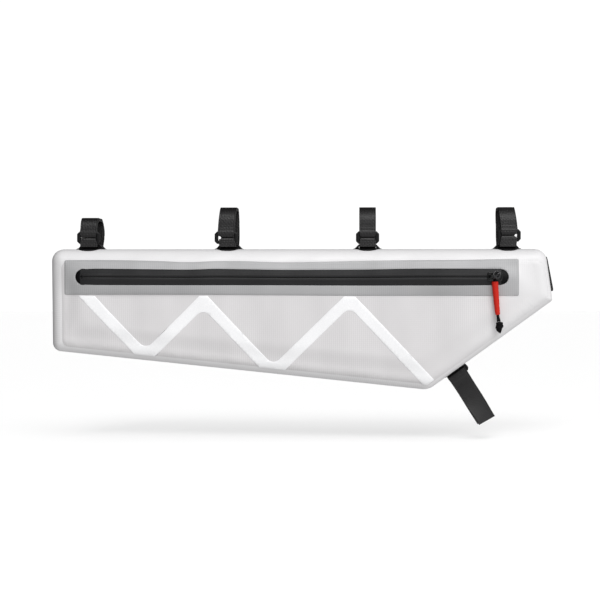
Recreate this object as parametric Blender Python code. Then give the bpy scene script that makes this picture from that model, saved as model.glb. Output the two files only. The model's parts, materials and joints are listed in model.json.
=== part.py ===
"""A waterproof bicycle frame bag, hung by four straps from a bicycle's top tube.

The frame of the model: the origin is on the top tube's axis, midway along the row of straps.
X runs along the bag from its heel (seat tube end) to its nose (head tube end), Z is up, and the
face with the zip looks towards -Y. Sizes are in metres.
"""

import math

import bmesh
import bpy
import numpy as np
from mathutils import Matrix, Vector

MM = 0.001
GAP = 0.3 * MM  # between pieces that touch on the real bag
SNAP = 0.01 * MM  # a sheet's points this close to a cut lie on it
FINE_STEP = 0.5 * MM  # between the points that a smooth route is measured by

# Side outline of the bag, by its sharp corners
TOP_LENGTH = 471.6 * MM
TOP_DROP = 19.4 * MM  # from the tube's axis down to the bag's top
HEEL_HEIGHT = 96.8 * MM
HEEL_LEAN = 2.5 * MM  # the heel's foot stands this far in
NOSE_REACH = 10.3 * MM  # the nose's tip stands this far out
NOSE_DROP = 46.2 * MM
BELLY_BACK = 112.3 * MM  # from the nose end of the top back to the lowest corner
BELLY_DROP = 134.4 * MM

# Rounding of those corners, as seen from the side
HEEL_TOP_RADIUS = 14 * MM
NOSE_TOP_RADIUS = 9 * MM
NOSE_TIP_RADIUS = 9 * MM
BELLY_RADIUS = 22 * MM
HEEL_FOOT_RADIUS = 9 * MM
TIGHTEST_RADIUS = 1.5 * MM

# Section through the bag
BAG_WIDTH = 60 * MM
EDGE_RADIUS = 13 * MM  # where the side strip folds into the faces
CROWN = 3 * MM  # how far a filled face stands out past its edge
CROWN_DEPTH = 30 * MM  # how far in from the outline the face is flat again
CROWN_CORNER = 18 * MM  # rounding of the flat middle's corners, where its sides leave room
SHORTEST_EDGE = 2 * MM  # what the crown leaves of a short edge of the outline
WALL = 1.5 * MM
SEAM_DEPTH = 6 * MM  # where a face is welded to the side strip
CORNER_STEPS = 5
FOLD_STEPS = 6
CROWN_STEPS = 4

# Grey zip panel welded to the front
PANEL_TOP_MARGIN = 11.5 * MM
PANEL_HEEL_MARGIN = 14.5 * MM
PANEL_NOSE_MARGIN = 26.4 * MM
PANEL_HEIGHT = 33.5 * MM
PANEL_THICKNESS = 0.6 * MM
PANEL_CORNER = 1.5 * MM

# Zip
ZIP_HEEL_MARGIN = 11.2 * MM  # from the panel's heel edge to the zip
ZIP_NOSE_MARGIN = 10.0 * MM
ZIP_RISE = 0.85 * MM  # the zip lies this far above the panel's middle
ZIP_HALF_HEIGHT = 7.2 * MM
ZIP_PROUD = 1.1 * MM  # the coated tape's front over the bag's skin
ZIP_DIP = 0.4 * MM  # the middle line lies this much lower
TAPE_FLANGE = 5 * MM  # the tape runs on behind the skin
TAPE_THICKNESS = 1.0 * MM
ZIP_END_FLAT = 0.2 * MM  # height of the short flat between an end's two round corners
ZIP_END_LENGTH_HEEL = 5.9 * MM
ZIP_END_LENGTH_NOSE = 7.7 * MM

# Slider
SLIDER_LENGTH = 14.2 * MM
SLIDER_HEIGHT = 8.7 * MM
SLIDER_PLATE = 1.7 * MM
SLIDER_FROM_NOSE = 13.0 * MM  # its middle, from the zip's nose end
NECK_LENGTH = 3.0 * MM
NECK_HEIGHT = 2.4 * MM
NECK_CORNER = 0.4 * MM
NECK_FORWARD = 2.5 * MM
BAIL_SPAN = 11 * MM
BAIL_RISE = 5.0 * MM
BAIL_BAR = 1.4 * MM
BAIL_WIDTH = 3.2 * MM

# Pull on the slider: a cord, a sleeve over it and the knot at its end
CORD_DIAMETER = 2.8 * MM
SLEEVE_LENGTH = 32 * MM
SLEEVE_TOP_DIAMETER = 5.7 * MM
SLEEVE_END_DIAMETER = 4.7 * MM
KNOT_LENGTH = 10.9 * MM
KNOT_WIDTH = 7.6 * MM
KNOT_DEPTH = 4.6 * MM
CORD_STEP = 2.3  # points of the cord, in diameters
# The cord's route, from under the slider's bail down to the knot: x, y, z
CORD_ROUTE = (
    (186.4 * MM, -37.7 * MM, -45.0 * MM),
    (186.4 * MM, -37.75 * MM, -49.0 * MM),
    (186.7 * MM, -38.0 * MM, -56.0 * MM),
    (187.7 * MM, -37.8 * MM, -68.0 * MM),
    (188.8 * MM, -37.3 * MM, -80.0 * MM),
    (190.1 * MM, -37.0 * MM, -89.2 * MM),
)
SLEEVE_START = 6.6 * MM  # along the cord, where the sleeve begins

# Reflective zigzag on the front
STRIPE_WIDTH = 11 * MM
STRIPE_THICKNESS = 0.4 * MM
STRIPE_INSET = 4.8 * MM  # from the outline
STRIPE_BELOW_PANEL = 0.8 * MM
STRIPE_CORNER = 4.5 * MM
# Turns of the zigzag: share of the top's length from the heel, share of the way from the grey
# panel down to the bottom edge
STRIPE_TURNS = (
    (0.0581, -0.147),
    (0.1942, 0.948),
    (0.3119, 0.101),
    (0.4514, 0.982),
    (0.6056, 0.067),
    (0.7816, 1.008),
)

# Straps over the top tube
STRAP_PITCH = 133.5 * MM
STRAP_WIDTH = 16 * MM
STRAP_THICKNESS = 1.3 * MM
LOOP_HALF_DEPTH = 16 * MM  # the inner layer's middle, from the tube's axis plane
LOOP_TOP = 20.6 * MM
SHORT_LOOP_TOP = 10.4 * MM
LOOP_FOOT_RADIUS = 4 * MM
LOOPS = {
    # loop: its top, its shoulders' radius, how high its tail ends on the back
    "long": (LOOP_TOP, 15.7 * MM, 6 * MM),
    "short": (SHORT_LOOP_TOP, 12 * MM, -6 * MM),
}
TURN_RADIUS = 1.15 * MM  # of a strap round a buckle's bar

# Ring buckles
BUCKLE_WIDTH = 22.2 * MM
BUCKLE_HEIGHT = 12.0 * MM
BUCKLE_THICKNESS = 2.2 * MM
BUCKLE_DROP = 9.2 * MM  # its middle below the tube's axis
BUCKLE_CHAMFER = 2.4 * MM
BUCKLE_BAR = 2.8 * MM  # height of its two bars
SLOT_PLAY = 0.9 * MM  # on each side of the strap
# Straps from the heel: how far the strap leans along the bag in front, and the loop's size
STRAPS = ((-0.3 * MM, "short"), (-1.7 * MM, "long"), (0, "long"), (0.5 * MM, "long"))

# Strap anchors: an oval patch with a bridge that the strap runs under
PATCH_HALF_WIDTH = 14 * MM
PATCH_HALF_LENGTH = 23 * MM
PATCH_THICKNESS = 0.8 * MM
PATCH_POWER = 2.6
BRIDGE_HALF_LENGTH = 9 * MM
BRIDGE_THICKNESS = 1.2 * MM
BRIDGE_SLOPE = 4.2 * MM

# Lower strap, for the down tube
LOWER_FROM_BELLY = 32 * MM
LOWER_STRAP_WIDTH = 18.4 * MM
LOWER_STRAP_LENGTH = 55 * MM
LOWER_PATCH_HALF_WIDTH = 13 * MM
LOWER_PATCH_HALF_LENGTH = 19 * MM
LOWER_BRIDGE_RISE = 2.2 * MM
LOWER_BRIDGE_SLOPE = 1.6 * MM
LOWER_LAYER_OFFSET = 1.1 * MM
LOWER_DRIFT = -1.2 * MM
LOWER_TWIST = math.radians(20)
LOWER_TWIST_START = 25 * MM
LOWER_STRAP_STEP = 6 * MM  # longest flat stretch along it

# Plain patch on the nose end
END_PATCH_LENGTH = 28 * MM
END_PATCH_HALF_WIDTH = 12 * MM
END_PATCH_THICKNESS = 1.2 * MM
END_PATCH_CORNER = 4 * MM
END_PATCH_FROM_TOP = 22.5 * MM

COLOURS = {
    # piece: sRGB colour, roughness
    "laminate": ("#DCDADB", 0.55),
    "side": ("#E6E5E6", 0.55),
    "panel": ("#ABABAD", 0.6),
    "zip": ("#2A2A2B", 0.5),
    "moulding": ("#1A1A1B", 0.45),
    "webbing": ("#2C2B2C", 0.8),
    "cord": ("#17161A", 0.75),
    "sleeve": ("#CC2A1E", 0.5),
    "stripe": ("#F2F2F4", 0.4),
}

BAG_TOP = -TOP_DROP
HALF_WIDTH = BAG_WIDTH / 2
SIDE_FLAT = HALF_WIDTH - EDGE_RADIUS
HEEL_X = -TOP_LENGTH / 2
NOSE_X = TOP_LENGTH / 2
PANEL_TOP = BAG_TOP - PANEL_TOP_MARGIN
PANEL_BOTTOM = PANEL_TOP - PANEL_HEIGHT
PANEL_HEEL = HEEL_X + PANEL_HEEL_MARGIN
PANEL_LENGTH = TOP_LENGTH - PANEL_HEEL_MARGIN - PANEL_NOSE_MARGIN
PANEL_NOSE = PANEL_HEEL + PANEL_LENGTH
ZIP_HEEL = PANEL_HEEL + ZIP_HEEL_MARGIN
ZIP_NOSE = PANEL_NOSE - ZIP_NOSE_MARGIN
ZIP_MIDDLE = (PANEL_TOP + PANEL_BOTTOM) / 2 + ZIP_RISE
SLIDER_X = ZIP_NOSE - SLIDER_FROM_NOSE
STRAP_FLOOR = GAP + PATCH_THICKNESS + GAP  # a strap's underside over the bag, at its anchor
STRAP_RUN = BAG_TOP + STRAP_FLOOR + STRAP_THICKNESS / 2  # its middle there
SLOT_HEIGHT = BUCKLE_HEIGHT - 2 * BUCKLE_BAR
SLOT_WIDTH = STRAP_WIDTH + 2 * SLOT_PLAY
BUCKLE_BACK = LOOP_HALF_DEPTH + STRAP_THICKNESS / 2 + GAP
STRAP_FRONT = BUCKLE_BACK + BUCKLE_THICKNESS + GAP + STRAP_THICKNESS / 2

# Sharp corners of the side outline, clockwise from the heel's top: x, z, radius
OUTLINE = (
    (HEEL_X, BAG_TOP, HEEL_TOP_RADIUS),
    (NOSE_X, BAG_TOP, NOSE_TOP_RADIUS),
    (NOSE_X + NOSE_REACH, BAG_TOP - NOSE_DROP, NOSE_TIP_RADIUS),
    (NOSE_X - BELLY_BACK, BAG_TOP - BELLY_DROP, BELLY_RADIUS),
    (HEEL_X + HEEL_LEAN, BAG_TOP - HEEL_HEIGHT, HEEL_FOOT_RADIUS),
)
TOP_EDGE, NOSE_EDGE, OBLIQUE_EDGE, BOTTOM_EDGE, HEEL_EDGE = range(5)


def linear(hex_colour):
    """Linear RGBA of an sRGB colour."""
    parts = [int(hex_colour[i : i + 2], 16) / 255 for i in (1, 3, 5)]
    return [c / 12.92 if c <= 0.04045 else ((c + 0.055) / 1.055) ** 2.4 for c in parts] + [1]


def material(name):
    """The material of this name, made the first time that it is asked for."""
    if name in bpy.data.materials:
        return bpy.data.materials[name]
    made = bpy.data.materials.new(name)
    made.use_nodes = True
    shader = made.node_tree.nodes["Principled BSDF"]
    colour, roughness = COLOURS[name]
    shader.inputs["Base Color"].default_value = linear(colour)
    shader.inputs["Roughness"].default_value = roughness
    made.diffuse_color = linear(colour)
    return made


def add_object(name, mesh_data, finish, smooth=True):
    """Links a mesh to the scene as a named piece with its material."""
    if smooth:
        mesh_data.shade_smooth()
        mesh_data.set_sharp_from_angle(angle=math.radians(35))
    made = bpy.data.objects.new(name, mesh_data)
    bpy.context.scene.collection.objects.link(made)
    if finish:
        mesh_data.materials.append(material(finish))
    return made


def mesh_of(name, vertices, faces):
    """A mesh with its normals pointing out."""
    made = bpy.data.meshes.new(name)
    made.from_pydata([tuple(v) for v in vertices], [], faces)
    work = bmesh.new()
    work.from_mesh(made)
    bmesh.ops.recalc_face_normals(work, faces=work.faces)
    work.to_mesh(made)
    work.free()
    return made


def loft(name, rings, capped=True):
    """Joins rings of equally many points, one after another. Without caps the last meets the first."""
    count = len(rings[0])
    vertices = [p for ring in rings for p in ring]
    pairs = [(k, k + 1) for k in range(len(rings) - 1)]
    if not capped:
        pairs.append((len(rings) - 1, 0))
    faces = [
        (a * count + i, a * count + (i + 1) % count, b * count + (i + 1) % count, b * count + i)
        for a, b in pairs
        for i in range(count)
    ]
    if capped:
        faces.append(tuple(range(count)))
        faces.append(tuple(range((len(rings) - 1) * count, len(rings) * count)))
    return mesh_of(name, vertices, faces)


def helper(name, mesh_data):
    """An object that only takes part in a Boolean."""
    made = add_object(name, mesh_data, None, smooth=False)
    made.hide_render = True
    made.display_type = "WIRE"
    return made


def boolean(target, other, operation):
    """Cuts or joins another object with the target, as a modifier."""
    step = target.modifiers.new(f"{operation.lower()} {other.name}", "BOOLEAN")
    step.object = other
    step.operation = operation
    step.solver = "EXACT"


# The side outline and the swell of the faces


def edge_frames():
    """For each outline edge, from its corner on: the corner, the direction and the inward normal."""
    frames = []
    for i, (x, z, _) in enumerate(OUTLINE):
        next_x, next_z, _ = OUTLINE[(i + 1) % len(OUTLINE)]
        along = Vector((next_x - x, next_z - z)).normalized()
        frames.append((Vector((x, z)), along, Vector((along.y, -along.x))))
    return frames


def moved_in(depth):
    """How far each outline edge has moved in on the ring at a depth.

    Where its neighbours would meet in front of a short edge, that edge moves further in."""
    frames = edge_frames()
    moves = []
    for i, (corner, _, inward) in enumerate(frames):
        j = (i + 1) % len(frames)
        bends = frames[i - 1][2].angle(inward), inward.angle(frames[j][2])
        lost = depth * sum(math.tan(bend / 2) for bend in bends)
        short = SHORTEST_EDGE - ((frames[j][0] - corner).length - lost)
        gain = sum(1 / math.tan(bend) for bend in bends)
        moves.append(depth + (short / gain if short > 0 else 0))
    return moves


def ring_corners(depth):
    """For each corner of the outline moved in by depth: centre and radius of its rounding."""
    frames = edge_frames()
    moves = moved_in(depth)
    count = len(frames)
    spread = (depth - EDGE_RADIUS) / (CROWN_DEPTH - EDGE_RADIUS)
    widest = TIGHTEST_RADIUS + (CROWN_CORNER - TIGHTEST_RADIUS) * max(0.0, min(1.0, spread))
    radii = [max(radius - depth, widest) for _, _, radius in OUTLINE]
    ways, reaches, sharp = [], [], []
    for i in range(count):
        (corner, _, after), before = frames[i], frames[i - 1][2]
        across = before.x * after.y - before.y * after.x
        in_x = (moves[i - 1] * after.y - moves[i] * before.y) / across
        in_z = (before.x * moves[i] - after.x * moves[i - 1]) / across
        sharp.append(corner + Vector((in_x, in_z)))
        ways.append((before + after) / (1 + before.dot(after)))
        reaches.append(math.tan(before.angle(after) / 2))
    for i in range(count):
        j = (i + 1) % count
        room = 0.98 * (sharp[j] - sharp[i]).length
        taken = radii[i] * reaches[i] + radii[j] * reaches[j]
        if taken > room:
            radii[i] *= room / taken
            radii[j] *= room / taken
    return [(sharp[i] + ways[i] * radii[i], radii[i]) for i in range(count)]


def outline_ring(depth):
    """Points (x, z) of the rounded outline, with every edge moved in by depth."""
    frames = edge_frames()
    points = []
    for i, (centre, radius) in enumerate(ring_corners(depth)):
        before, after = frames[i - 1][2], frames[i][2]
        turn = before.angle(after)
        for k in range(CORNER_STEPS + 1):
            spin = Matrix.Rotation(-turn * k / CORNER_STEPS, 2)
            points.append(centre - spin @ (before * radius))
    return points


def outside_ring(place, depth):
    """Whether a point of the side view lies outside the ring at a depth."""
    frames = edge_frames()
    for (corner, _, inward), move in zip(frames, moved_in(depth)):
        if (place - corner).dot(inward) < move:
            return True
    for i, (centre, radius) in enumerate(ring_corners(depth)):
        away = place - centre
        if away.dot(frames[i - 1][1]) > 0 > away.dot(frames[i][1]):
            return away.length > radius
    return False


def depth_at(x, z):
    """How far in the ring lies that runs through a point of the side view."""
    place = Vector((x, z))
    low, high = 0.0, CROWN_DEPTH
    if not outside_ring(place, high):
        return high
    for _ in range(24):
        middle = (low + high) / 2
        if outside_ring(place, middle):
            high = middle
        else:
            low = middle
    return low


def fold(angle, lift=0.0):
    """Depth and half width at an angle round the folded edge, 0 on the side strip's flat."""
    reach = EDGE_RADIUS + lift
    return EDGE_RADIUS - reach * math.cos(angle), SIDE_FLAT + reach * math.sin(angle)


def crown_rows():
    """Depth and half width of the face's rings, from the fold's end to where it is flat."""
    rows = []
    for k in range(CROWN_STEPS + 1):
        t = k / CROWN_STEPS
        depth = EDGE_RADIUS + (CROWN_DEPTH - EDGE_RADIUS) * t
        rows.append((depth, HALF_WIDTH + CROWN * t * t * (3 - 2 * t)))
    return rows


def fold_angles():
    return [math.pi / 2 * k / FOLD_STEPS for k in range(FOLD_STEPS + 1)]


def skin_rows():
    """Depth and half width of every ring of the skin, from the outline inwards."""
    return [fold(angle) for angle in fold_angles()[:-1]] + crown_rows()


def half_width_at(depth):
    """Half the bag's width this far in from the outline, along the flats between its rings."""
    depths, widths = zip(*skin_rows())
    return float(np.interp(depth, depths, widths))


def seam_angle():
    return math.acos(1 - SEAM_DEPTH / EDGE_RADIUS)


def ring_at(depth, half_width, side):
    """The outline ring at a depth, placed on the front (-1) or the back (1)."""
    return [(p.x, side * half_width, p.y) for p in outline_ring(depth)]


# The bag's shell


def add_face_panel(name, side):
    """A face: a shallow tray from its seam to its flat middle."""
    start = seam_angle() + GAP / EDGE_RADIUS
    angles = [start] + [a for a in fold_angles() if a > start + 0.05]
    outer = [fold(a) for a in angles] + crown_rows()[1:]
    inner = [fold(a, -WALL) for a in angles] + [(d, w - WALL) for d, w in crown_rows()[1:]]
    rows = inner[::-1] + outer
    rings = [ring_at(depth, width, side) for depth, width in rows]
    return add_object(name, loft(name, rings), "laminate")


def add_gusset():
    """The side strip that runs all round the bag and folds over both edges."""
    angles = [a for a in fold_angles() if a < seam_angle() - 0.05] + [seam_angle()]
    outer = [fold(a) for a in angles]
    inner = [fold(a, -WALL) for a in angles]
    rows = [(d, w, -1) for d, w in outer[::-1]] + [(d, w, 1) for d, w in outer]
    rows += [(d, w, 1) for d, w in inner[::-1]] + [(d, w, -1) for d, w in inner]
    rings = [ring_at(depth, width, side) for depth, width, side in rows]
    return add_object("gusset", loft("gusset", rings, capped=False), "side")


# Sheets that lie on the front


def pill(x0, x1, z0, z1, radius, steps=6):
    """Points (x, z) of a rectangle with rounded corners, anticlockwise from its right side."""
    points = []
    for x, z, start in (
        (x1 - radius, z1 - radius, 0),
        (x0 + radius, z1 - radius, 90),
        (x0 + radius, z0 + radius, 180),
        (x1 - radius, z0 + radius, 270),
    ):
        for k in range(steps + 1):
            angle = math.radians(start + 90 * k / steps)
            points.append((x + radius * math.cos(angle), z + radius * math.sin(angle)))
    return points


def cut_line(work, point, normal, clear=False):
    """Cuts a flat sheet along a line of the side view, and can clear what lies past it."""
    bmesh.ops.bisect_plane(
        work,
        geom=work.verts[:] + work.edges[:] + work.faces[:],
        dist=SNAP,
        plane_co=(point.x, 0, point.y),
        plane_no=(normal.x, 0, normal.y),
        clear_outer=clear,
    )


def cut_along_folds(work):
    """Cuts a flat sheet where the skin below it changes slope."""
    frames = edge_frames()
    for depth, _ in skin_rows():
        for (corner, _, inward), move in zip(frames, moved_in(depth)):
            cut_line(work, corner + inward * move, inward)


def lay_on_front(name, work, low, high, finish):
    """Gives a flat sheet its thickness and lays it on the front, low to high over the skin."""
    bmesh.ops.triangulate(work, faces=work.faces[:])
    bmesh.ops.dissolve_degenerate(work, edges=work.edges[:], dist=SNAP)
    work.verts.index_update()
    count = len(work.verts)
    skin = [half_width_at(depth_at(v.co.x, v.co.z)) for v in work.verts]
    vertices = [
        (v.co.x, -(skin[i] + lift), v.co.z) for lift in (low, high) for i, v in enumerate(work.verts)
    ]
    faces = []
    for face in work.faces:
        corners = [v.index for v in face.verts]
        faces.append(tuple(corners))
        faces.append(tuple(count + i for i in reversed(corners)))
    for edge in work.edges:
        if edge.is_boundary:
            a, b = (v.index for v in edge.verts)
            faces.append((a, b, count + b, count + a))
    work.free()
    return add_object(name, mesh_of(name, vertices, faces), finish)


def flat_sheet(outline):
    """A flat face in the side view, as a bmesh."""
    work = bmesh.new()
    work.faces.new([work.verts.new((x, 0, z)) for x, z in outline])
    bmesh.ops.triangulate(work, faces=work.faces[:])
    return work


def zip_window(margin):
    """Outline of the zip's opening, this much larger than the zip all round."""
    half = ZIP_HALF_HEIGHT + margin
    return pill(
        ZIP_HEEL - margin,
        ZIP_NOSE + margin,
        ZIP_MIDDLE - half,
        ZIP_MIDDLE + half,
        half - ZIP_END_FLAT / 2,
    )


def cut_zip_window(panel):
    rings = [[(x, y, z) for x, z in zip_window(GAP)] for y in (-BAG_WIDTH, -SIDE_FLAT)]
    boolean(panel, helper("zip_window_cutter", loft("zip_window_cutter", rings)), "DIFFERENCE")


def add_zip_panel():
    """The grey frame welded round the zip."""
    outer = pill(PANEL_HEEL, PANEL_NOSE, PANEL_BOTTOM, PANEL_TOP, PANEL_CORNER)
    inner = zip_window(GAP)
    work = bmesh.new()
    around = [work.verts.new((x, 0, z)) for x, z in outer]
    within = [work.verts.new((x, 0, z)) for x, z in inner]
    for i in range(len(outer)):
        j = (i + 1) % len(outer)
        work.faces.new((around[i], around[j], within[j], within[i]))
    cut_along_folds(work)
    return lay_on_front("zip_panel", work, GAP, GAP + PANEL_THICKNESS, "panel")


def add_zip_tape(name, side):
    """Half of the zip: a coated tape in the opening, with a flange behind the skin."""
    back = -WALL - GAP - TAPE_THICKNESS
    half, wide = ZIP_HALF_HEIGHT, ZIP_HALF_HEIGHT + TAPE_FLANGE
    section = (
        # height over the zip's middle, lift over the skin
        (GAP / 2, back),
        (half, back),
        (wide, back),
        (wide, back + TAPE_THICKNESS),
        (half, back + TAPE_THICKNESS),
        (half, ZIP_PROUD - ZIP_DIP),
        (half * 0.86, ZIP_PROUD),
        (half * 0.25, ZIP_PROUD),
        (GAP / 2, ZIP_PROUD - ZIP_DIP),
    )
    start = ZIP_HEEL + ZIP_END_LENGTH_HEEL + GAP / 2
    end = ZIP_NOSE - ZIP_END_LENGTH_NOSE - GAP / 2
    rings = []
    for x in (start, start + CROWN_DEPTH / 3, end - CROWN_DEPTH / 3, end):
        ring = []
        for height, lift in section:
            z = ZIP_MIDDLE + side * height
            ring.append((x, -(half_width_at(depth_at(x, z)) + lift), z))
        rings.append(ring)
    tape = add_object(name, loft(name, rings), "zip")
    x, half_length = SLIDER_X + NECK_FORWARD, NECK_LENGTH / 2 + GAP
    notch = pill(
        x - half_length,
        x + half_length,
        ZIP_MIDDLE - NECK_HEIGHT / 2 - GAP,
        ZIP_MIDDLE + NECK_HEIGHT / 2 + GAP,
        NECK_CORNER,
        steps=2,
    )
    rings = [[(x, y, z) for x, z in notch] for y in (-BAG_WIDTH, -SIDE_FLAT)]
    cutter = helper(f"{name}_notch_cutter", loft(f"{name}_notch_cutter", rings))
    boolean(tape, cutter, "DIFFERENCE")
    return tape


def add_zip_end(name, tip, toward, length):
    """A moulded half-round end of the zip, from its tip towards the tapes."""
    half = ZIP_HALF_HEIGHT
    round_part = pill(
        ZIP_HEEL, ZIP_NOSE, ZIP_MIDDLE - half, ZIP_MIDDLE + half, half - ZIP_END_FLAT / 2
    )
    work = flat_sheet(round_part)
    cut_at = tip + toward * (length - GAP / 2)
    cut_line(work, Vector((cut_at, ZIP_MIDDLE)), Vector((toward, 0)), clear=True)
    cut_along_folds(work)
    return lay_on_front(name, work, -WALL, ZIP_PROUD, "moulding")


def add_stripe():
    """The zigzag tape, trimmed below the grey panel and along the bag's lower edges."""
    frames = edge_frames()
    corner, along, _ = frames[BOTTOM_EDGE]
    turns = []
    for share, drop in STRIPE_TURNS:
        x = HEEL_X + share * TOP_LENGTH
        bottom = corner.y + along.y * (x - corner.x) / along.x
        turns.append(Vector((x, PANEL_BOTTOM + (bottom - PANEL_BOTTOM) * drop)))
    left = offset_line(turns, STRIPE_WIDTH / 2)
    right = offset_line(turns, -STRIPE_WIDTH / 2)
    # The inside of each turn is rounded; turns go down and up by turns.
    left_radii = [STRIPE_CORNER * (i % 2) for i in range(len(turns))]
    right_radii = [STRIPE_CORNER * (1 - i % 2) for i in range(len(turns))]
    left_side = rounded_path([(p.x, p.y, r) for p, r in zip(left, left_radii)])
    right_side = rounded_path([(p.x, p.y, r) for p, r in zip(right, right_radii)])
    work = flat_sheet([tuple(p) for p in left_side + right_side[::-1]])
    top = Vector((0, PANEL_BOTTOM - STRIPE_BELOW_PANEL))
    cut_line(work, top, Vector((0, 1)), clear=True)
    for edge in (BOTTOM_EDGE, OBLIQUE_EDGE):
        corner, _, inward = frames[edge]
        cut_line(work, corner + inward * STRIPE_INSET, -inward, clear=True)
    cut_along_folds(work)
    return lay_on_front("zigzag_stripe", work, GAP, GAP + STRIPE_THICKNESS, "stripe")


# Lines with rounded turns, and ribbons


def offset_line(points, distance):
    """The line moved sideways, to its left where the distance is over 0, with mitred turns."""
    moved = []
    for i, point in enumerate(points):
        ways = []
        if i > 0:
            ways.append((point - points[i - 1]).normalized())
        if i < len(points) - 1:
            ways.append((points[i + 1] - point).normalized())
        normals = [Vector((-way.y, way.x)) for way in ways]
        middle = sum(normals, Vector((0, 0))).normalized()
        moved.append(point + middle * (distance / middle.dot(normals[0])))
    return moved


def rounded_path(turns, degrees_per_step=22):
    """Points through a list of turns (a, b, radius), each rounded as far as its sides allow."""
    points = [Vector((a, b)) for a, b, _ in turns]
    wanted = [0.0] * len(points)
    bends = [0.0] * len(points)
    for i in range(1, len(points) - 1):
        before = points[i] - points[i - 1]
        after = points[i + 1] - points[i]
        bends[i] = before.angle(after)
        wanted[i] = turns[i][2] * math.tan(bends[i] / 2)
    allowed = list(wanted)
    for i in range(len(points) - 1):
        room = 0.98 * (points[i + 1] - points[i]).length
        total = wanted[i] + wanted[i + 1]
        if total > room:
            allowed[i] = min(allowed[i], wanted[i] * room / total)
            allowed[i + 1] = min(allowed[i + 1], wanted[i + 1] * room / total)
    path = [points[0]]
    for i in range(1, len(points) - 1):
        if allowed[i] < SNAP:
            path.append(points[i])
            continue
        back = (points[i - 1] - points[i]).normalized()
        ahead = (points[i + 1] - points[i]).normalized()
        start, end = points[i] + back * allowed[i], points[i] + ahead * allowed[i]
        radius = allowed[i] / math.tan(bends[i] / 2)
        centre = points[i] + (back + ahead).normalized() * math.hypot(allowed[i], radius)
        steps = max(2, math.ceil(math.degrees(bends[i]) / degrees_per_step))
        from_centre, to_centre = start - centre, end - centre
        for k in range(steps + 1):
            t = k / steps
            ahead_share, back_share = math.sin(t * bends[i]), math.sin((1 - t) * bends[i])
            way = from_centre * back_share + to_centre * ahead_share
            path.append(centre + way.normalized() * radius)
    path.append(points[-1])
    return path


def ribbon(name, path, widths, thickness, place, finish):
    """Webbing along a path in its side plane. place turns (across, a, b) into a point."""
    sides = [offset_line(path, thickness / 2), offset_line(path, -thickness / 2)]
    rings = []
    for i, width in enumerate(widths):
        inner, outer = sides[0][i], sides[1][i]
        rings.append(
            [
                place(-width / 2, inner.x, inner.y),
                place(width / 2, inner.x, inner.y),
                place(width / 2, outer.x, outer.y),
                place(-width / 2, outer.x, outer.y),
            ]
        )
    return add_object(name, loft(name, rings), finish)


# Straps, buckles and anchors


def strap_turns(loop_top, shoulder, tail_end):
    """Turns (y, z, radius) of a top strap: its sewn end, round the tube, through the buckle and
    back over itself to the end of its tail."""
    layer = STRAP_THICKNESS + GAP
    inner, outer = LOOP_HALF_DEPTH, LOOP_HALF_DEPTH + layer
    outer_top = loop_top - STRAP_THICKNESS / 2
    inner_top = outer_top - layer
    pass_height = SLOT_HEIGHT / 2 - GAP - STRAP_THICKNESS / 2
    upper_pass = -BUCKLE_DROP + pass_height
    lower_pass = -BUCKLE_DROP - pass_height
    over_buckle = -BUCKLE_DROP + BUCKLE_HEIGHT / 2
    return [
        (-STRAP_FRONT, STRAP_RUN, 0),
        (-STRAP_FRONT, lower_pass, TURN_RADIUS),
        (-inner, lower_pass, TURN_RADIUS),
        (-inner, STRAP_RUN, LOOP_FOOT_RADIUS),
        (inner, STRAP_RUN, LOOP_FOOT_RADIUS),
        (inner, inner_top, shoulder),
        (-inner, inner_top, shoulder),
        (-inner, upper_pass, TURN_RADIUS),
        (-STRAP_FRONT, upper_pass, TURN_RADIUS),
        (-STRAP_FRONT, over_buckle, 2 * layer),
        (-outer, over_buckle + 2 * layer, 2 * layer),
        (-outer, outer_top, shoulder + layer),
        (outer, outer_top, shoulder + layer),
        (outer, tail_end, 0),
    ]


def add_top_strap(number, x, lean, loop):
    path = rounded_path(strap_turns(*LOOPS[loop]))

    def place(across, y, z):
        up = (z - STRAP_RUN) / (-BUCKLE_DROP - STRAP_RUN)
        forward = (LOOP_HALF_DEPTH - y) / LOOP_HALF_DEPTH
        share = max(0.0, min(1.0, up)) * max(0.0, min(1.0, forward))
        return (x + across + lean * share, y, z)

    return ribbon(
        f"top_strap_{number}", path, [STRAP_WIDTH] * len(path), STRAP_THICKNESS, place, "webbing"
    )


def add_buckle(number, x):
    """A ring buckle: a chamfered plate with one opening, between its two bars."""
    half, tall = BUCKLE_WIDTH / 2, BUCKLE_HEIGHT / 2
    cut = BUCKLE_CHAMFER
    plate = [
        (half, tall - cut), (half - cut, tall), (cut - half, tall), (-half, tall - cut),
        (-half, cut - tall), (cut - half, -tall), (half - cut, -tall), (half, cut - tall),
    ]  # fmt: skip
    back, front = -BUCKLE_BACK, -BUCKLE_BACK - BUCKLE_THICKNESS
    name = f"top_buckle_{number}"
    rings = [[(x + a, y, -BUCKLE_DROP + b) for a, b in plate] for y in (back, front)]
    buckle = add_object(name, loft(name, rings), "moulding")
    slot = pill(
        x - SLOT_WIDTH / 2,
        x + SLOT_WIDTH / 2,
        -BUCKLE_DROP - SLOT_HEIGHT / 2,
        -BUCKLE_DROP + SLOT_HEIGHT / 2,
        BUCKLE_CHAMFER / 3,
        steps=2,
    )
    rings = [[(a, y, b) for a, b in slot] for y in (back + WALL, front - WALL)]
    boolean(buckle, helper(f"{name}_slot", loft(f"{name}_slot", rings)), "DIFFERENCE")
    return buckle


def over_side(s, lift):
    """Half-width place and height over the side strip's flat, at a distance s round its section."""
    past = abs(s) - SIDE_FLAT
    if past <= 0:
        return s, lift
    angle = past / EDGE_RADIUS
    reach = EDGE_RADIUS + lift
    y = SIDE_FLAT + reach * math.sin(angle)
    return math.copysign(y, s), reach * math.cos(angle) - EDGE_RADIUS


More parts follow.
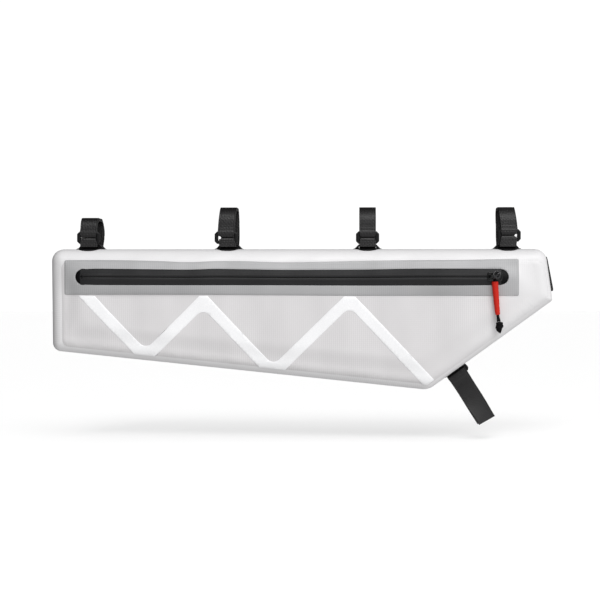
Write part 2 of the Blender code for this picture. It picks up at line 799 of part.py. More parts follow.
def patch_stations(half_length):
    """Places along a patch, close together over the folds."""
    shares = (0, 0.25, 0.5, 0.66, 0.78, 0.86, 0.92, 0.965, 0.99)
    places = [half_length * t for t in shares]
    if half_length > SIDE_FLAT:
        places += [SIDE_FLAT, (SIDE_FLAT + half_length) / 2]
    places.sort()
    ahead = [b for a, b in zip([-half_length] + places, places) if b - a > SNAP]
    return [-s for s in reversed(ahead[1:])] + ahead


def draped_patch(name, half_widths, stations, thickness, place, finish):
    """A thin patch laid over the side strip and its folds."""
    rings = []
    for s, half in zip(stations, half_widths):
        ring = []
        for u, lift in ((-half, GAP), (half, GAP), (half, GAP + thickness), (-half, GAP + thickness)):
            y, n = over_side(s, lift)
            ring.append(place(u, y, n))
        rings.append(ring)
    return add_object(name, loft(name, rings), finish)


def add_anchor(name, place, half_width, half_length, strap_width, rise, slope):
    """An oval patch with a bridge over it. rise lifts the bridge clear of the strap."""
    stations = patch_stations(half_length)
    half_widths = [
        half_width * (1 - abs(s / half_length) ** PATCH_POWER) ** (1 / PATCH_POWER) for s in stations
    ]
    anchor = draped_patch(name, half_widths, stations, PATCH_THICKNESS, place, "moulding")
    foot = GAP + PATCH_THICKNESS / 2
    under = STRAP_FLOOR + STRAP_THICKNESS + GAP + rise
    over = under + BRIDGE_THICKNESS
    inside = strap_width / 2 + GAP
    outside = inside + slope
    profile = (
        (-outside - BRIDGE_THICKNESS, foot),
        (-inside - BRIDGE_THICKNESS / 2, over),
        (inside + BRIDGE_THICKNESS / 2, over),
        (outside + BRIDGE_THICKNESS, foot),
        (outside, foot),
        (inside, under),
        (-inside, under),
        (-outside, foot),
    )
    rings = [
        [place(u, y, n) for u, n in profile] for y in (-BRIDGE_HALF_LENGTH, BRIDGE_HALF_LENGTH)
    ]
    bridge = helper(f"{name}_bridge", loft(f"{name}_bridge", rings))
    boolean(anchor, bridge, "UNION")
    return anchor


def lower_place(across, y, n):
    """A point from the oblique edge's own frame: across along the edge, y, n outwards."""
    corner, along, inward = edge_frames()[OBLIQUE_EDGE]
    end = corner + along * oblique_length()
    spot = end - along * LOWER_FROM_BELLY - along * across - inward * n
    return (spot.x, y, spot.y)


def oblique_length():
    (x0, z0, _), (x1, z1, _) = OUTLINE[OBLIQUE_EDGE], OUTLINE[BOTTOM_EDGE]
    return math.hypot(x1 - x0, z1 - z0)


def add_lower_strap():
    """The strap for the down tube: under its bridge, with both ends hanging side by side."""
    floor = STRAP_FLOOR + STRAP_THICKNESS / 2
    mouth = BRIDGE_HALF_LENGTH + STRAP_THICKNESS + GAP
    crown = floor + STRAP_THICKNESS + LOWER_BRIDGE_RISE + BRIDGE_THICKNESS + 2 * GAP
    clear = crown + mouth
    end = LOWER_STRAP_LENGTH
    turns = [
        (-LOWER_LAYER_OFFSET, end, 0),
        (-LOWER_LAYER_OFFSET, clear + GAP, mouth),
        (-mouth, crown, TURN_RADIUS * 2),
        (-mouth, floor, TURN_RADIUS),
        (mouth, floor, TURN_RADIUS),
        (mouth, crown, TURN_RADIUS * 2),
        (LOWER_LAYER_OFFSET, clear + GAP, mouth),
        (LOWER_LAYER_OFFSET, end - STRAP_THICKNESS, 0),
    ]
    path = rounded_path(turns)
    path = with_steps(path, LOWER_STRAP_STEP)

    def place(across, y, n):
        share = max(0.0, min(1.0, (n - LOWER_TWIST_START) / (end - LOWER_TWIST_START)))
        twist = LOWER_TWIST * share * share * (3 - 2 * share)
        turned = across * math.cos(twist) - y * math.sin(twist)
        depth = across * math.sin(twist) + y * math.cos(twist)
        return lower_place(turned + LOWER_DRIFT * max(n, 0) / end, depth, n)

    return ribbon(
        "lower_strap", path, [LOWER_STRAP_WIDTH] * len(path), STRAP_THICKNESS, place, "webbing"
    )


def with_steps(path, longest):
    """The same path with points added, so that no stretch is longer than this."""
    points = [path[0]]
    for a, b in zip(path, path[1:]):
        count = max(1, math.ceil((b - a).length / longest))
        points += [a.lerp(b, (k + 1) / count) for k in range(count)]
    return points


def add_end_patch():
    """The plain patch on the slanted nose end."""
    corner, along, inward = edge_frames()[NOSE_EDGE]
    half = END_PATCH_HALF_WIDTH
    outline = pill(
        -END_PATCH_LENGTH / 2, END_PATCH_LENGTH / 2, -half, half, END_PATCH_CORNER, steps=4
    )
    rings = []
    for lift in (GAP, GAP + END_PATCH_THICKNESS):
        ring = []
        for u, y in outline:
            spot = corner + along * (END_PATCH_FROM_TOP + u) - inward * lift
            ring.append((spot.x, y, spot.y))
        rings.append(ring)
    return add_object("end_patch", loft("end_patch", rings), "webbing")


# Slider and its pull


def box_mesh(name, x0, x1, y0, y1, z0, z1, corner):
    """A block with rounded corners as seen from the front."""
    outline = pill(x0, x1, z0, z1, corner, steps=3)
    return loft(name, [[(x, y, z) for x, z in outline] for y in (y0, y1)])


def add_slider():
    """The slider: plates in front of and behind the tapes, the neck between them and the bail."""
    tall = SLIDER_HEIGHT / 2
    skins = [half_width_at(depth_at(SLIDER_X, ZIP_MIDDLE + z)) for z in (-tall, 0, tall)]
    front = max(skins) + ZIP_PROUD + GAP
    back = min(skins) - WALL - GAP - TAPE_THICKNESS - GAP
    x0, x1 = SLIDER_X - SLIDER_LENGTH / 2, SLIDER_X + SLIDER_LENGTH / 2
    z0, z1 = ZIP_MIDDLE - tall, ZIP_MIDDLE + tall
    slider = add_object(
        "zip_slider",
        box_mesh("zip_slider", x0, x1, -front, -front - SLIDER_PLATE, z0, z1, tall * 0.45),
        "moulding",
    )
    rear = box_mesh("slider_rear", x0, x1, -back, -back + SLIDER_PLATE, z0, z1, tall * 0.45)
    boolean(slider, helper("slider_rear", rear), "UNION")
    neck_x = SLIDER_X + NECK_FORWARD
    neck = box_mesh(
        "slider_neck",
        neck_x - NECK_LENGTH / 2,
        neck_x + NECK_LENGTH / 2,
        -front - SLIDER_PLATE / 2,
        -back + SLIDER_PLATE / 2,
        ZIP_MIDDLE - NECK_HEIGHT / 2,
        ZIP_MIDDLE + NECK_HEIGHT / 2,
        NECK_CORNER,
    )
    boolean(slider, helper("slider_neck", neck), "UNION")
    base = front + SLIDER_PLATE / 2
    rise = SLIDER_PLATE / 2 + BAIL_RISE
    half = BAIL_SPAN / 2
    arch = (
        (-half, 0), (-half * 0.8, rise), (half * 0.8, rise), (half, 0),
        (half - BAIL_BAR, 0), (half * 0.8 - BAIL_BAR, rise - BAIL_BAR),
        (BAIL_BAR - half * 0.8, rise - BAIL_BAR), (BAIL_BAR - half, 0),
    )  # fmt: skip
    rings = [
        [(SLIDER_X + u, -base - n, ZIP_MIDDLE + side * BAIL_WIDTH / 2) for u, n in arch]
        for side in (-1, 1)
    ]
    boolean(slider, helper("slider_bail", loft("slider_bail", rings)), "UNION")
    return slider


def smooth_route(points, step):
    """Points at even steps on a smooth curve through the route's own points."""
    route = [Vector(p) for p in points]
    ends = [2 * route[0] - route[1]] + route + [2 * route[-1] - route[-2]]
    fine = []
    for i in range(1, len(ends) - 2):
        a, b, c, d = ends[i - 1 : i + 3]
        for k in range(20):
            t = k / 20
            bend = (2 * a - 5 * b + 4 * c - d) * t**2 + (3 * b - a - 3 * c + d) * t**3
            fine.append((2 * b + (c - a) * t + bend) / 2)
    fine.append(route[-1])
    lengths = np.cumsum([0] + [(q - p).length for p, q in zip(fine, fine[1:])])
    count = max(2, round(lengths[-1] / step))
    even = np.linspace(0, lengths[-1], count + 1)
    axes = [np.interp(even, lengths, [p[axis] for p in fine]) for axis in range(3)]
    return [Vector(p) for p in zip(*axes)]


def add_cord():
    points = smooth_route(CORD_ROUTE, CORD_STEP * CORD_DIAMETER)
    curve = bpy.data.curves.new("pull_cord", "CURVE")
    curve.dimensions = "3D"
    curve.bevel_depth = CORD_DIAMETER / 2
    curve.bevel_resolution = 2
    curve.use_fill_caps = True
    spline = curve.splines.new("POLY")
    spline.points.add(len(points) - 1)
    for target, point in zip(spline.points, points):
        target.co = (*point, 1)
    curve.materials.append(material("cord"))
    cord = bpy.data.objects.new("pull_cord", curve)
    bpy.context.scene.collection.objects.link(cord)
    return cord


def along_cord(start, length, step):
    """Points of the cord's curve from a distance along it on, at even steps."""
    fine = smooth_route(CORD_ROUTE, FINE_STEP)
    lengths = np.cumsum([0] + [(q - p).length for p, q in zip(fine, fine[1:])])
    count = max(2, round(length / step))
    places = np.linspace(start, start + length, count + 1)
    axes = [np.interp(places, lengths, [p[axis] for p in fine]) for axis in range(3)]
    return [Vector(p) for p in zip(*axes)]


def round_ring(centre, way, wide, deep, count=10):
    """A ring of points about a line that runs down the bag's front."""
    side = Vector((0, 1, 0)).cross(way).normalized()
    out = way.cross(side).normalized()
    turns = [2 * math.pi * k / count for k in range(count)]
    return [centre + side * wide * math.cos(t) + out * deep * math.sin(t) for t in turns]


def add_sleeve():
    """The tube over the cord, a little thinner at its lower end."""
    points = along_cord(SLEEVE_START, SLEEVE_LENGTH, CORD_STEP * CORD_DIAMETER)
    inner = CORD_DIAMETER / 2 + GAP
    outer_rings, inner_rings = [], []
    for i, point in enumerate(points):
        way = points[min(i + 1, len(points) - 1)] - points[max(i - 1, 0)]
        t = i / (len(points) - 1)
        outer = (SLEEVE_TOP_DIAMETER * (1 - t) + SLEEVE_END_DIAMETER * t) / 2
        outer_rings.append(round_ring(point, way, outer, outer))
        inner_rings.append(round_ring(point, way, inner, inner))
    rings = outer_rings + inner_rings[::-1]
    return add_object("pull_sleeve", loft("pull_sleeve", rings, capped=False), "sleeve")


def add_knot():
    """The cord's end knot, a leaf shape that points down."""
    points = smooth_route(CORD_ROUTE, FINE_STEP)
    way = (points[-1] - points[-3]).normalized()
    start = points[-1] + way * GAP
    shape = (
        # share of the length, of the width, of the depth
        (0.0, 0.45, 0.62),
        (0.14, 0.72, 0.92),
        (0.34, 1.0, 1.0),
        (0.52, 0.9, 0.96),
        (0.8, 0.45, 0.6),
        (1.0, 0.12, 0.16),
    )
    rings = [
        round_ring(start + way * KNOT_LENGTH * t, way, KNOT_WIDTH * w / 2, KNOT_DEPTH * d / 2, 12)
        for t, w, d in shape
    ]
    return add_object("pull_knot", loft("pull_knot", rings), "cord")


def clear_scene():
    for old in list(bpy.data.objects):
        bpy.data.objects.remove(old, do_unlink=True)


def main():
    clear_scene()
    front = add_face_panel("front_panel", -1)
    cut_zip_window(front)
    add_face_panel("back_panel", 1)
    add_gusset()
    add_zip_panel()
    add_zip_tape("zip_tape_upper", 1)
    add_zip_tape("zip_tape_lower", -1)
    add_zip_end("zip_end_heel", ZIP_HEEL, 1, ZIP_END_LENGTH_HEEL)
    add_zip_end("zip_end_nose", ZIP_NOSE, -1, ZIP_END_LENGTH_NOSE)
    add_stripe()
    add_slider()
    add_cord()
    add_sleeve()
    add_knot()
    for i, (lean, loop) in enumerate(STRAPS):
        x = STRAP_PITCH * (i - (len(STRAPS) - 1) / 2)

        def top_place(u, y, n, x=x):
            return (x + u, y, BAG_TOP + n)

        add_anchor(
            f"strap_anchor_{i + 1}",
            top_place,
            PATCH_HALF_WIDTH,
            PATCH_HALF_LENGTH,
            STRAP_WIDTH,
            0,
            BRIDGE_SLOPE,
        )
        add_top_strap(i + 1, x, lean, loop)
        add_buckle(i + 1, x + lean)
    add_anchor(
        "lower_anchor",
        lower_place,
        LOWER_PATCH_HALF_WIDTH,
        LOWER_PATCH_HALF_LENGTH,
        LOWER_STRAP_WIDTH,
        LOWER_BRIDGE_RISE,
        LOWER_BRIDGE_SLOPE,
    )
    add_lower_strap()
    add_end_patch()


main()
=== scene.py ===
"""The looks of a welded bicycle frame bag: coated ripstop, sealed zip, webbing and moulded hardware.

Lengths are in metres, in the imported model's frame: X runs from the heel to the nose, Z is up and the
face with the zip looks towards -Y.
"""

import json
import logging
import math
from dataclasses import dataclass, field
from enum import Enum
from typing import Any, Callable, ClassVar, Sequence

import bmesh
import bpy
import numpy as np
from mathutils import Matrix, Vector

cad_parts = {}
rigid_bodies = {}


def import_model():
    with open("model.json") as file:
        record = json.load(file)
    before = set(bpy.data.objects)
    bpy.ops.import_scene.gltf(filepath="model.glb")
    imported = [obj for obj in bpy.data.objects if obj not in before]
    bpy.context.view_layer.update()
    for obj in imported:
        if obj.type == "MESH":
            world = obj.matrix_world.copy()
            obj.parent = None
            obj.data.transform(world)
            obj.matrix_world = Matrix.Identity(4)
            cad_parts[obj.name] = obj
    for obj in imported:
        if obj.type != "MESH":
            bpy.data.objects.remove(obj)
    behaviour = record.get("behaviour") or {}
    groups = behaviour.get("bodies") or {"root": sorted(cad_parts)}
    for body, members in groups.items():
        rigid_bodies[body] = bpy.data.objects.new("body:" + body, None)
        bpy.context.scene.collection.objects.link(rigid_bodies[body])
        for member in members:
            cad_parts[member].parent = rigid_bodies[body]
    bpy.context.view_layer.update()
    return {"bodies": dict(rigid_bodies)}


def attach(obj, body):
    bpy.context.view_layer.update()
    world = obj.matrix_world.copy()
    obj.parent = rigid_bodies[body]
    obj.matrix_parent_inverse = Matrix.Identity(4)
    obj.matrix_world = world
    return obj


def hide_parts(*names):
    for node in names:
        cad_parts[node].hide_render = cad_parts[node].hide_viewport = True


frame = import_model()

log = logging.getLogger("frame_bag")

MM = 0.001
GAP = 0.3 * MM
# How far a cut may miss a point, and edges so short that a cut sheet loses them
CUT_PLAY = 0.005 * MM
SHORT_EDGE = 0.04 * MM
# Share of a side that the roundings at its two ends may take
SIDE_ROOM = 0.98
BODY = sorted(frame["bodies"])[0]

Array = np.ndarray
Triple = tuple[float, float, float]
Place = Callable[[float, float, float], Triple]
Piece = bpy.types.Object
Tree = bpy.types.NodeTree
Socket = bpy.types.NodeSocket


class Side(Enum):
    """The two faces of the bag, by the sign of their Y."""

    FRONT = -1
    BACK = 1


# Small numeric helpers


def ease(low: float, high: float, value: Array) -> Array:
    """A smooth step from 0 at low to 1 at high.

    Args:
        low: where the step starts.
        high: where it ends.
        value: numbers to read it at.

    Returns:
        The step's height at each value.
    """
    t = np.clip((np.asarray(value, float) - low) / (high - low), 0, 1)
    return t * t * (3 - 2 * t)


def flow(places: Sequence[float], heights: Sequence[float], at: Array) -> Array:
    """A smooth line through a few heights.

    Args:
        places: where the heights are given, growing.
        heights: the line's height at each place.
        at: where to read the line.

    Returns:
        The line's height at each place asked for.
    """
    p, h = np.asarray(places, float), np.asarray(heights, float)
    slopes = np.gradient(h, p)
    i = np.clip(np.searchsorted(p, at) - 1, 0, len(p) - 2)
    span = p[i + 1] - p[i]
    t = np.clip((at - p[i]) / span, 0, 1)
    start = h[i] * (1 + 2 * t) * (1 - t) ** 2 + slopes[i] * span * t * (1 - t) ** 2
    end = h[i + 1] * t**2 * (3 - 2 * t) + slopes[i + 1] * span * t**2 * (t - 1)
    return start + end


def unit(vectors: Array) -> Array:
    """Rows of a table, each made one long."""
    return vectors / np.linalg.norm(vectors, axis=-1, keepdims=True)


# Meshes


def add_object(name: str, data: bpy.types.ID) -> Piece:
    """Adds an object to the scene.

    Args:
        name: its name.
        data: its mesh, camera or light.

    Returns:
        The object.
    """
    made = bpy.data.objects.new(name, data)
    bpy.context.scene.collection.objects.link(made)
    return made


def corner_points(data: bpy.types.Mesh) -> Array:
    """The number of the vertex at each corner of a mesh's faces."""
    return np.array([c.vertex_index for c in data.loops])


def lay_cloth(data: bpy.types.Mesh, uvs: Array) -> None:
    """Gives each corner of a mesh's faces its place on the cloth."""
    data.uv_layers["cloth"].data.foreach_set("uv", np.asarray(uvs, np.float32).ravel())


def make_mesh(
    name: str,
    vertices: Sequence[Sequence[float]],
    faces: Sequence[Sequence[int]],
    uvs: Array,
    sharp: float = 40,
) -> Piece:
    """Makes a closed piece from its points and faces.

    Args:
        name: the piece's name.
        vertices: its points.
        faces: its faces, as indices of points.
        uvs: a place on the cloth, in metres, for each point or for each corner of each face.
        sharp: edges sharper than this many degrees stay crisp.

    Returns:
        The object, linked to the scene.
    """
    data = bpy.data.meshes.new(name)
    data.from_pydata([tuple(map(float, v)) for v in vertices], [], [tuple(f) for f in faces])
    data.uv_layers.new(name="cloth")
    lay_cloth(data, uvs[corner_points(data)] if len(uvs) == len(vertices) else uvs)
    work = bmesh.new()
    work.from_mesh(data)
    bmesh.ops.recalc_face_normals(work, faces=work.faces)
    work.to_mesh(data)
    work.free()
    data.shade_smooth()
    data.set_sharp_from_angle(angle=math.radians(sharp))
    return add_object(name, data)


def loft(name: str, rings: Sequence[Array], closed: bool = False, sharp: float = 40) -> Piece:
    """Joins rings of equally many points into a piece.

    Args:
        name: the piece's name.
        rings: the rings, one after another.
        closed: whether the last ring meets the first, where the ends have no caps.
        sharp: edges sharper than this many degrees stay crisp.

    Returns:
        The piece, with a place on the cloth for each corner: round each ring, and along them.
    """
    table = np.asarray(rings, float)
    count, around = table.shape[:2]
    steps = np.linalg.norm(np.roll(table, -1, axis=1) - table, axis=2)
    across = np.concatenate([np.zeros((count, 1)), np.cumsum(steps, axis=1)], axis=1).mean(axis=0)
    middle = table.mean(axis=1)
    runs = np.linalg.norm(np.diff(middle, axis=0), axis=1)
    if closed:
        runs = np.linalg.norm(np.diff(table, axis=0), axis=2).mean(axis=1)
    along = np.concatenate([[0], np.cumsum(runs)])
    faces: list[tuple[int, ...]] = []
    uvs: list[tuple[float, float]] = []
    last = count if closed else count - 1
    for k in range(last):
        n = (k + 1) % count
        v0 = along[k]
        v1 = along[n] if n else along[k] + np.linalg.norm(table[0] - table[k], axis=1).mean()
        for i in range(around):
            j = (i + 1) % around
            faces.append((k * around + i, k * around + j, n * around + j, n * around + i))
            u0, u1 = across[i], across[i + 1]
            uvs += [(u0, v0), (u1, v0), (u1, v1), (u0, v1)]
    if not closed:
        for k in (0, count - 1):
            faces.append(tuple(range(k * around, (k + 1) * around)))
            uvs += [(across[i], along[k]) for i in range(around)]
    return make_mesh(name, table.reshape(-1, 3), faces, np.array(uvs), sharp)


def apply_modifiers(piece: Piece) -> None:
    """Writes a piece's modifiers into its mesh."""
    evaluated = piece.evaluated_get(bpy.context.evaluated_depsgraph_get())
    data = bpy.data.meshes.new_from_object(evaluated)
    piece.modifiers.clear()
    piece.data = data


def join(name: str, pieces: Sequence[Piece]) -> Piece:
    """Joins pieces of one material into one object.

    Args:
        name: the joined piece's name.
        pieces: the pieces, which are used up.

    Returns:
        The joined piece.
    """
    work = bmesh.new()
    for piece in pieces:
        work.from_mesh(piece.data)
    data = bpy.data.meshes.new(name)
    work.to_mesh(data)
    work.free()
    for piece in pieces:
        bpy.data.objects.remove(piece, do_unlink=True)
    return add_object(name, data)


def pill(
    x0: float, x1: float, z0: float, z1: float, radius: float, steps: int = 8
) -> list[tuple[float, float]]:
    """Points (x, z) of a rectangle with rounded corners, anticlockwise from its right side.

    Args:
        x0: left side.
        x1: right side.
        z0: lower side.
        z1: upper side.
        radius: of its corners.
        steps: facets of each corner.

    Returns:
        The points.
    """
    points = []
    centres = (
        (x1 - radius, z1 - radius, 0), (x0 + radius, z1 - radius, 90),
        (x0 + radius, z0 + radius, 180), (x1 - radius, z0 + radius, 270),
    )  # fmt: skip
    for x, z, start in centres:
        for k in range(steps + 1):
            angle = math.radians(start + 90 * k / steps)
            points.append((x + radius * math.cos(angle), z + radius * math.sin(angle)))
    return points


def offset_line(points: Sequence[Vector], distance: float) -> list[Vector]:
    """The line moved to its left, with mitred turns.

    Args:
        points: the line's turns.
        distance: how far it moves.

    Returns:
        The moved turns.
    """
    moved = []
    for i, point in enumerate(points):
        ways = []
        if i > 0:
            ways.append((point - points[i - 1]).normalized())
        if i < len(points) - 1:
            ways.append((points[i + 1] - point).normalized())
        normals = [Vector((-way.y, way.x)) for way in ways]
        middle = sum(normals, Vector((0, 0))).normalized()
        moved.append(point + middle * (distance / middle.dot(normals[0])))
    return moved


def rounded_path(
    turns: Sequence[Triple], degrees_per_step: float = 6, longest: float = 1.0
) -> list[Vector]:
    """Points through a list of turns, each rounded as far as its sides allow.

    Args:
        turns: first and second coordinate and radius of each turn.
        degrees_per_step: how far the line bends between two points of a rounding.
        longest: the longest stretch without a point.

    Returns:
        The points.
    """
    points = [Vector((a, b)) for a, b, _ in turns]
    wanted, bends = [0.0] * len(points), [0.0] * len(points)
    for i in range(1, len(points) - 1):
        bends[i] = (points[i] - points[i - 1]).angle(points[i + 1] - points[i])
        wanted[i] = turns[i][2] * math.tan(bends[i] / 2)
    allowed = list(wanted)
    for i in range(len(points) - 1):
        room = SIDE_ROOM * (points[i + 1] - points[i]).length
        total = wanted[i] + wanted[i + 1]
        if total > room:
            allowed[i] = min(allowed[i], wanted[i] * room / total)
            allowed[i + 1] = min(allowed[i + 1], wanted[i + 1] * room / total)
    path = [points[0]]
    for i in range(1, len(points) - 1):
        if allowed[i] < 1e-6:
            path.append(points[i])
            continue
        back = (points[i - 1] - points[i]).normalized()
        ahead = (points[i + 1] - points[i]).normalized()
        radius = allowed[i] / math.tan(bends[i] / 2)
        centre = points[i] + (back + ahead).normalized() * math.hypot(allowed[i], radius)
        first = points[i] + back * allowed[i] - centre
        last = points[i] + ahead * allowed[i] - centre
        steps = max(2, math.ceil(math.degrees(bends[i]) / degrees_per_step))
        for k in range(steps + 1):
            share = k / steps
            way = first * math.sin((1 - share) * bends[i]) + last * math.sin(share * bends[i])
            path.append(centre + way.normalized() * radius)
    path.append(points[-1])
    fine = [path[0]]
    for a, b in zip(path, path[1:]):
        count = max(1, math.ceil((b - a).length / longest))
        fine += [a.lerp(b, (k + 1) / count) for k in range(count)]
    return fine


# Finishes


def linear(hex_colour: str) -> tuple[float, float, float, float]:
    """Linear RGBA of an sRGB hex colour."""
    parts = [int(hex_colour[i : i + 2], 16) / 255 for i in (1, 3, 5)]
    return (*(c / 12.92 if c <= 0.04045 else ((c + 0.055) / 1.055) ** 2.4 for c in parts), 1.0)


def add_node(
    tree: Tree,
    kind: str,
    settings: dict[str, Any] | None = None,
    values: dict[Any, Any] | None = None,
    links: dict[Any, Socket] | None = None,
) -> bpy.types.Node:
    """Adds a node with its settings and links.

    Args:
        tree: the material's node tree.
        kind: the node's type.
        settings: its properties.
        values: numbers or colours for its inputs.
        links: the outputs that feed its other inputs.

    Returns:
        The node.
    """
    node = tree.nodes.new(f"ShaderNode{kind}")
    for key, value in (settings or {}).items():
        setattr(node, key, value)
    for key, value in (values or {}).items():
        node.inputs[key].default_value = value
    for key, source in (links or {}).items():
        tree.links.new(source, node.inputs[key])
    return node


def band_scale(pitch: float) -> float:
    """The Wave texture's scale that repeats every pitch, in metres."""
    return math.pi / 10 / pitch


@dataclass(frozen=True)
class Finish:
    """A material: what it is made of, and how light leaves it.

    Its dark and light colours are mixed by the pattern that each kind of finish draws.
    """

    name: str
    slot: str
    colour: str
    shade: str
    roughness: float
    ior: float = 1.5

    def pattern(self, tree: Tree, cloth: Socket) -> tuple[Any, Any, float]:
        """Draws the surface.

        Args:
            tree: the material's nodes.
            cloth: places on the cloth, in metres.

        Returns:
            The share of the light colour, the relief, and the relief's depth in metres.
        """
        raise NotImplementedError

    def tint(self, tree: Tree, cloth: Socket, colour: Socket) -> Socket:
        """The colour as it leaves the pattern; a kind of finish may change it along the cloth."""
        return colour

    def material(self) -> bpy.types.Material:
        """The finish's material, made the first time that it is asked for."""
        if self.name in bpy.data.materials:
            return bpy.data.materials[self.name]
        made = bpy.data.materials.new(self.name)
        made.use_nodes = True
        tree = made.node_tree
        shader = tree.nodes["Principled BSDF"]
        shader.inputs["Roughness"].default_value = self.roughness
        shader.inputs["IOR"].default_value = self.ior
        cloth = add_node(tree, "UVMap", settings={"uv_map": "cloth"})
        share, relief, depth = self.pattern(tree, cloth.outputs["UV"])
        mix = add_node(
            tree, "Mix", settings={"data_type": "RGBA"},
            values={6: linear(self.shade), 7: linear(self.colour)}, links={0: share},
        )  # fmt: skip
        bump = add_node(
            tree, "Bump", values={"Strength": 1.0, "Distance": depth},
            links={"Height": relief},
        )  # fmt: skip
        colour = self.tint(tree, cloth.outputs["UV"], mix.outputs[2])
        tree.links.new(colour, shader.inputs["Base Color"])
        tree.links.new(bump.outputs["Normal"], shader.inputs["Normal"])
        return made


@dataclass(frozen=True)
class CoatedRipstop(Finish):
    """Ripstop cloth with a TPU coating, calendered: matte, with the thicker threads as faint lines."""

    pitch: float = 1.9 * MM
    lines: float = 0.35
    cross: float = 0.12
    relief: float = 0.05 * MM
    # Painted light: the lighter colour that the face is painted towards the nose, standing in for
    # brighter light from the right, and where that painted lightening starts and ends
    painted_light_colour: str = ""
    painted_light_span: tuple[float, float] = (0.13, 0.215)

    def pattern(self, tree: Tree, cloth: Socket) -> tuple[Any, Any, float]:
        """Thread lines over soft, wide clouds in the coating."""
        waves = []
        for direction in ("X", "Y"):
            waves.append(
                add_node(
                    tree,
                    "TexWave",
                    settings={"bands_direction": direction},
                    values={
                        "Scale": band_scale(self.pitch), "Distortion": 0.6, "Detail": 1.0,
                        "Detail Scale": 0.3,
                    },  # fmt: skip
                    links={"Vector": cloth},
                )
            )
        threads = add_node(
            tree, "Math", settings={"operation": "MULTIPLY_ADD"},
            values={1: self.cross / self.lines},
            links={0: waves[1].outputs["Fac"], 2: waves[0].outputs["Fac"]},
        )  # fmt: skip
        clouds = add_node(
            tree, "TexNoise", values={"Scale": 22.0, "Detail": 3.0, "Roughness": 0.5},
            links={"Vector": cloth},
        )  # fmt: skip
        share = add_node(
            tree, "Math", settings={"operation": "MULTIPLY_ADD", "use_clamp": True},
            values={1: self.lines}, links={0: threads.outputs[0], 2: clouds.outputs["Fac"]},
        )  # fmt: skip
        return share.outputs[0], threads.outputs[0], self.relief

    def tint(self, tree: Tree, cloth: Socket, colour: Socket) -> Socket:
        """Paints light on: lightens the colour towards the nose, as the light from the right would, where
        the finish has a painted-light colour.
        """
        if not self.painted_light_colour:
            return colour
        place = add_node(tree, "SeparateXYZ", links={0: cloth})
        # Painted light: how far the colour is lightened along the bag towards the nose
        share = add_node(
            tree, "MapRange", settings={"interpolation_type": "SMOOTHSTEP"},
            values={1: self.painted_light_span[0], 2: self.painted_light_span[1]}, links={0: place.outputs["X"]},
        )  # fmt: skip
        painted_light_mix = add_node(
            tree, "Mix", settings={"data_type": "RGBA"}, values={7: linear(self.painted_light_colour)},
            links={0: share.outputs[0], 6: colour},
        )  # fmt: skip
        return painted_light_mix.outputs[2]


@dataclass(frozen=True)
class CoatedTape(Finish):
    """Zip tape, extruded PU over woven polyester: satin black, with the coil's turns pressed through."""

    pitch: float = 1.3 * MM
    relief: float = 0.06 * MM

    def pattern(self, tree: Tree, cloth: Socket) -> tuple[Any, Any, float]:
        """Short ribs at the coil's pitch, broken by fine grain."""
        ribs = add_node(
            tree, "TexWave", settings={"bands_direction": "X"},
            values={"Scale": band_scale(self.pitch), "Distortion": 0.3}, links={"Vector": cloth},
        )  # fmt: skip
        grain = add_node(
            tree, "TexNoise", values={"Scale": 700.0, "Detail": 2.0}, links={"Vector": cloth}
        )
        both = add_node(
            tree, "Math", settings={"operation": "MULTIPLY_ADD", "use_clamp": True},
            values={1: 0.5}, links={0: ribs.outputs["Fac"], 2: grain.outputs["Fac"]},
        )  # fmt: skip
        return both.outputs[0], both.outputs[0], self.relief


@dataclass(frozen=True)
class WovenWebbing(Finish):
    """Nylon webbing, woven: fine ribs across it, a twill in its middle, and tight dark selvedges."""

    rib: float = 1.3 * MM
    warp: float = 1.6 * MM
    relief: float = 0.16 * MM

    def pattern(self, tree: Tree, cloth: Socket) -> tuple[Any, Any, float]:
        """Weft ribs along the strap crossed by warp threads, which show as a soft grid."""
        bands = [
            add_node(
                tree, "TexWave", settings={"bands_direction": direction},
                values={"Scale": band_scale(pitch), "Distortion": 0.8, "Detail": 1.0},
                links={"Vector": cloth},
            )  # fmt: skip
            for direction, pitch in (("X", self.warp), ("Y", self.rib), ("DIAGONAL", self.warp))
        ]
        grid = add_node(
            tree, "Math", settings={"operation": "MULTIPLY"},
            links={0: bands[0].outputs["Fac"], 1: bands[1].outputs["Fac"]},
        )  # fmt: skip
        twill = add_node(
            tree, "Math", settings={"operation": "MULTIPLY_ADD", "use_clamp": True},
            values={1: 0.35}, links={0: bands[2].outputs["Fac"], 2: grid.outputs[0]},
        )  # fmt: skip
        return twill.outputs[0], twill.outputs[0], self.relief


@dataclass(frozen=True)
class BraidedCord(Finish):
    """Polyester cord, braided: black, with small diamonds where its strands cross."""

    pitch: float = 1.6 * MM
    relief: float = 0.2 * MM

    def pattern(self, tree: Tree, cloth: Socket) -> tuple[Any, Any, float]:
        """Two sets of slanting strands, the higher of which shows."""
        turned = []
        for angle in (35, -35):
            spun = add_node(
                tree, "Mapping", values={"Rotation": (0, 0, math.radians(angle))},
                links={"Vector": cloth},
            )  # fmt: skip
            turned.append(
                add_node(
                    tree, "TexWave", settings={"bands_direction": "Y"},
                    values={"Scale": band_scale(self.pitch)},
                    links={"Vector": spun.outputs["Vector"]},
                )  # fmt: skip
            )
        top = add_node(
            tree, "Math", settings={"operation": "MAXIMUM"},
            links={0: turned[0].outputs["Fac"], 1: turned[1].outputs["Fac"]},
        )  # fmt: skip
        return top.outputs[0], top.outputs[0], self.relief


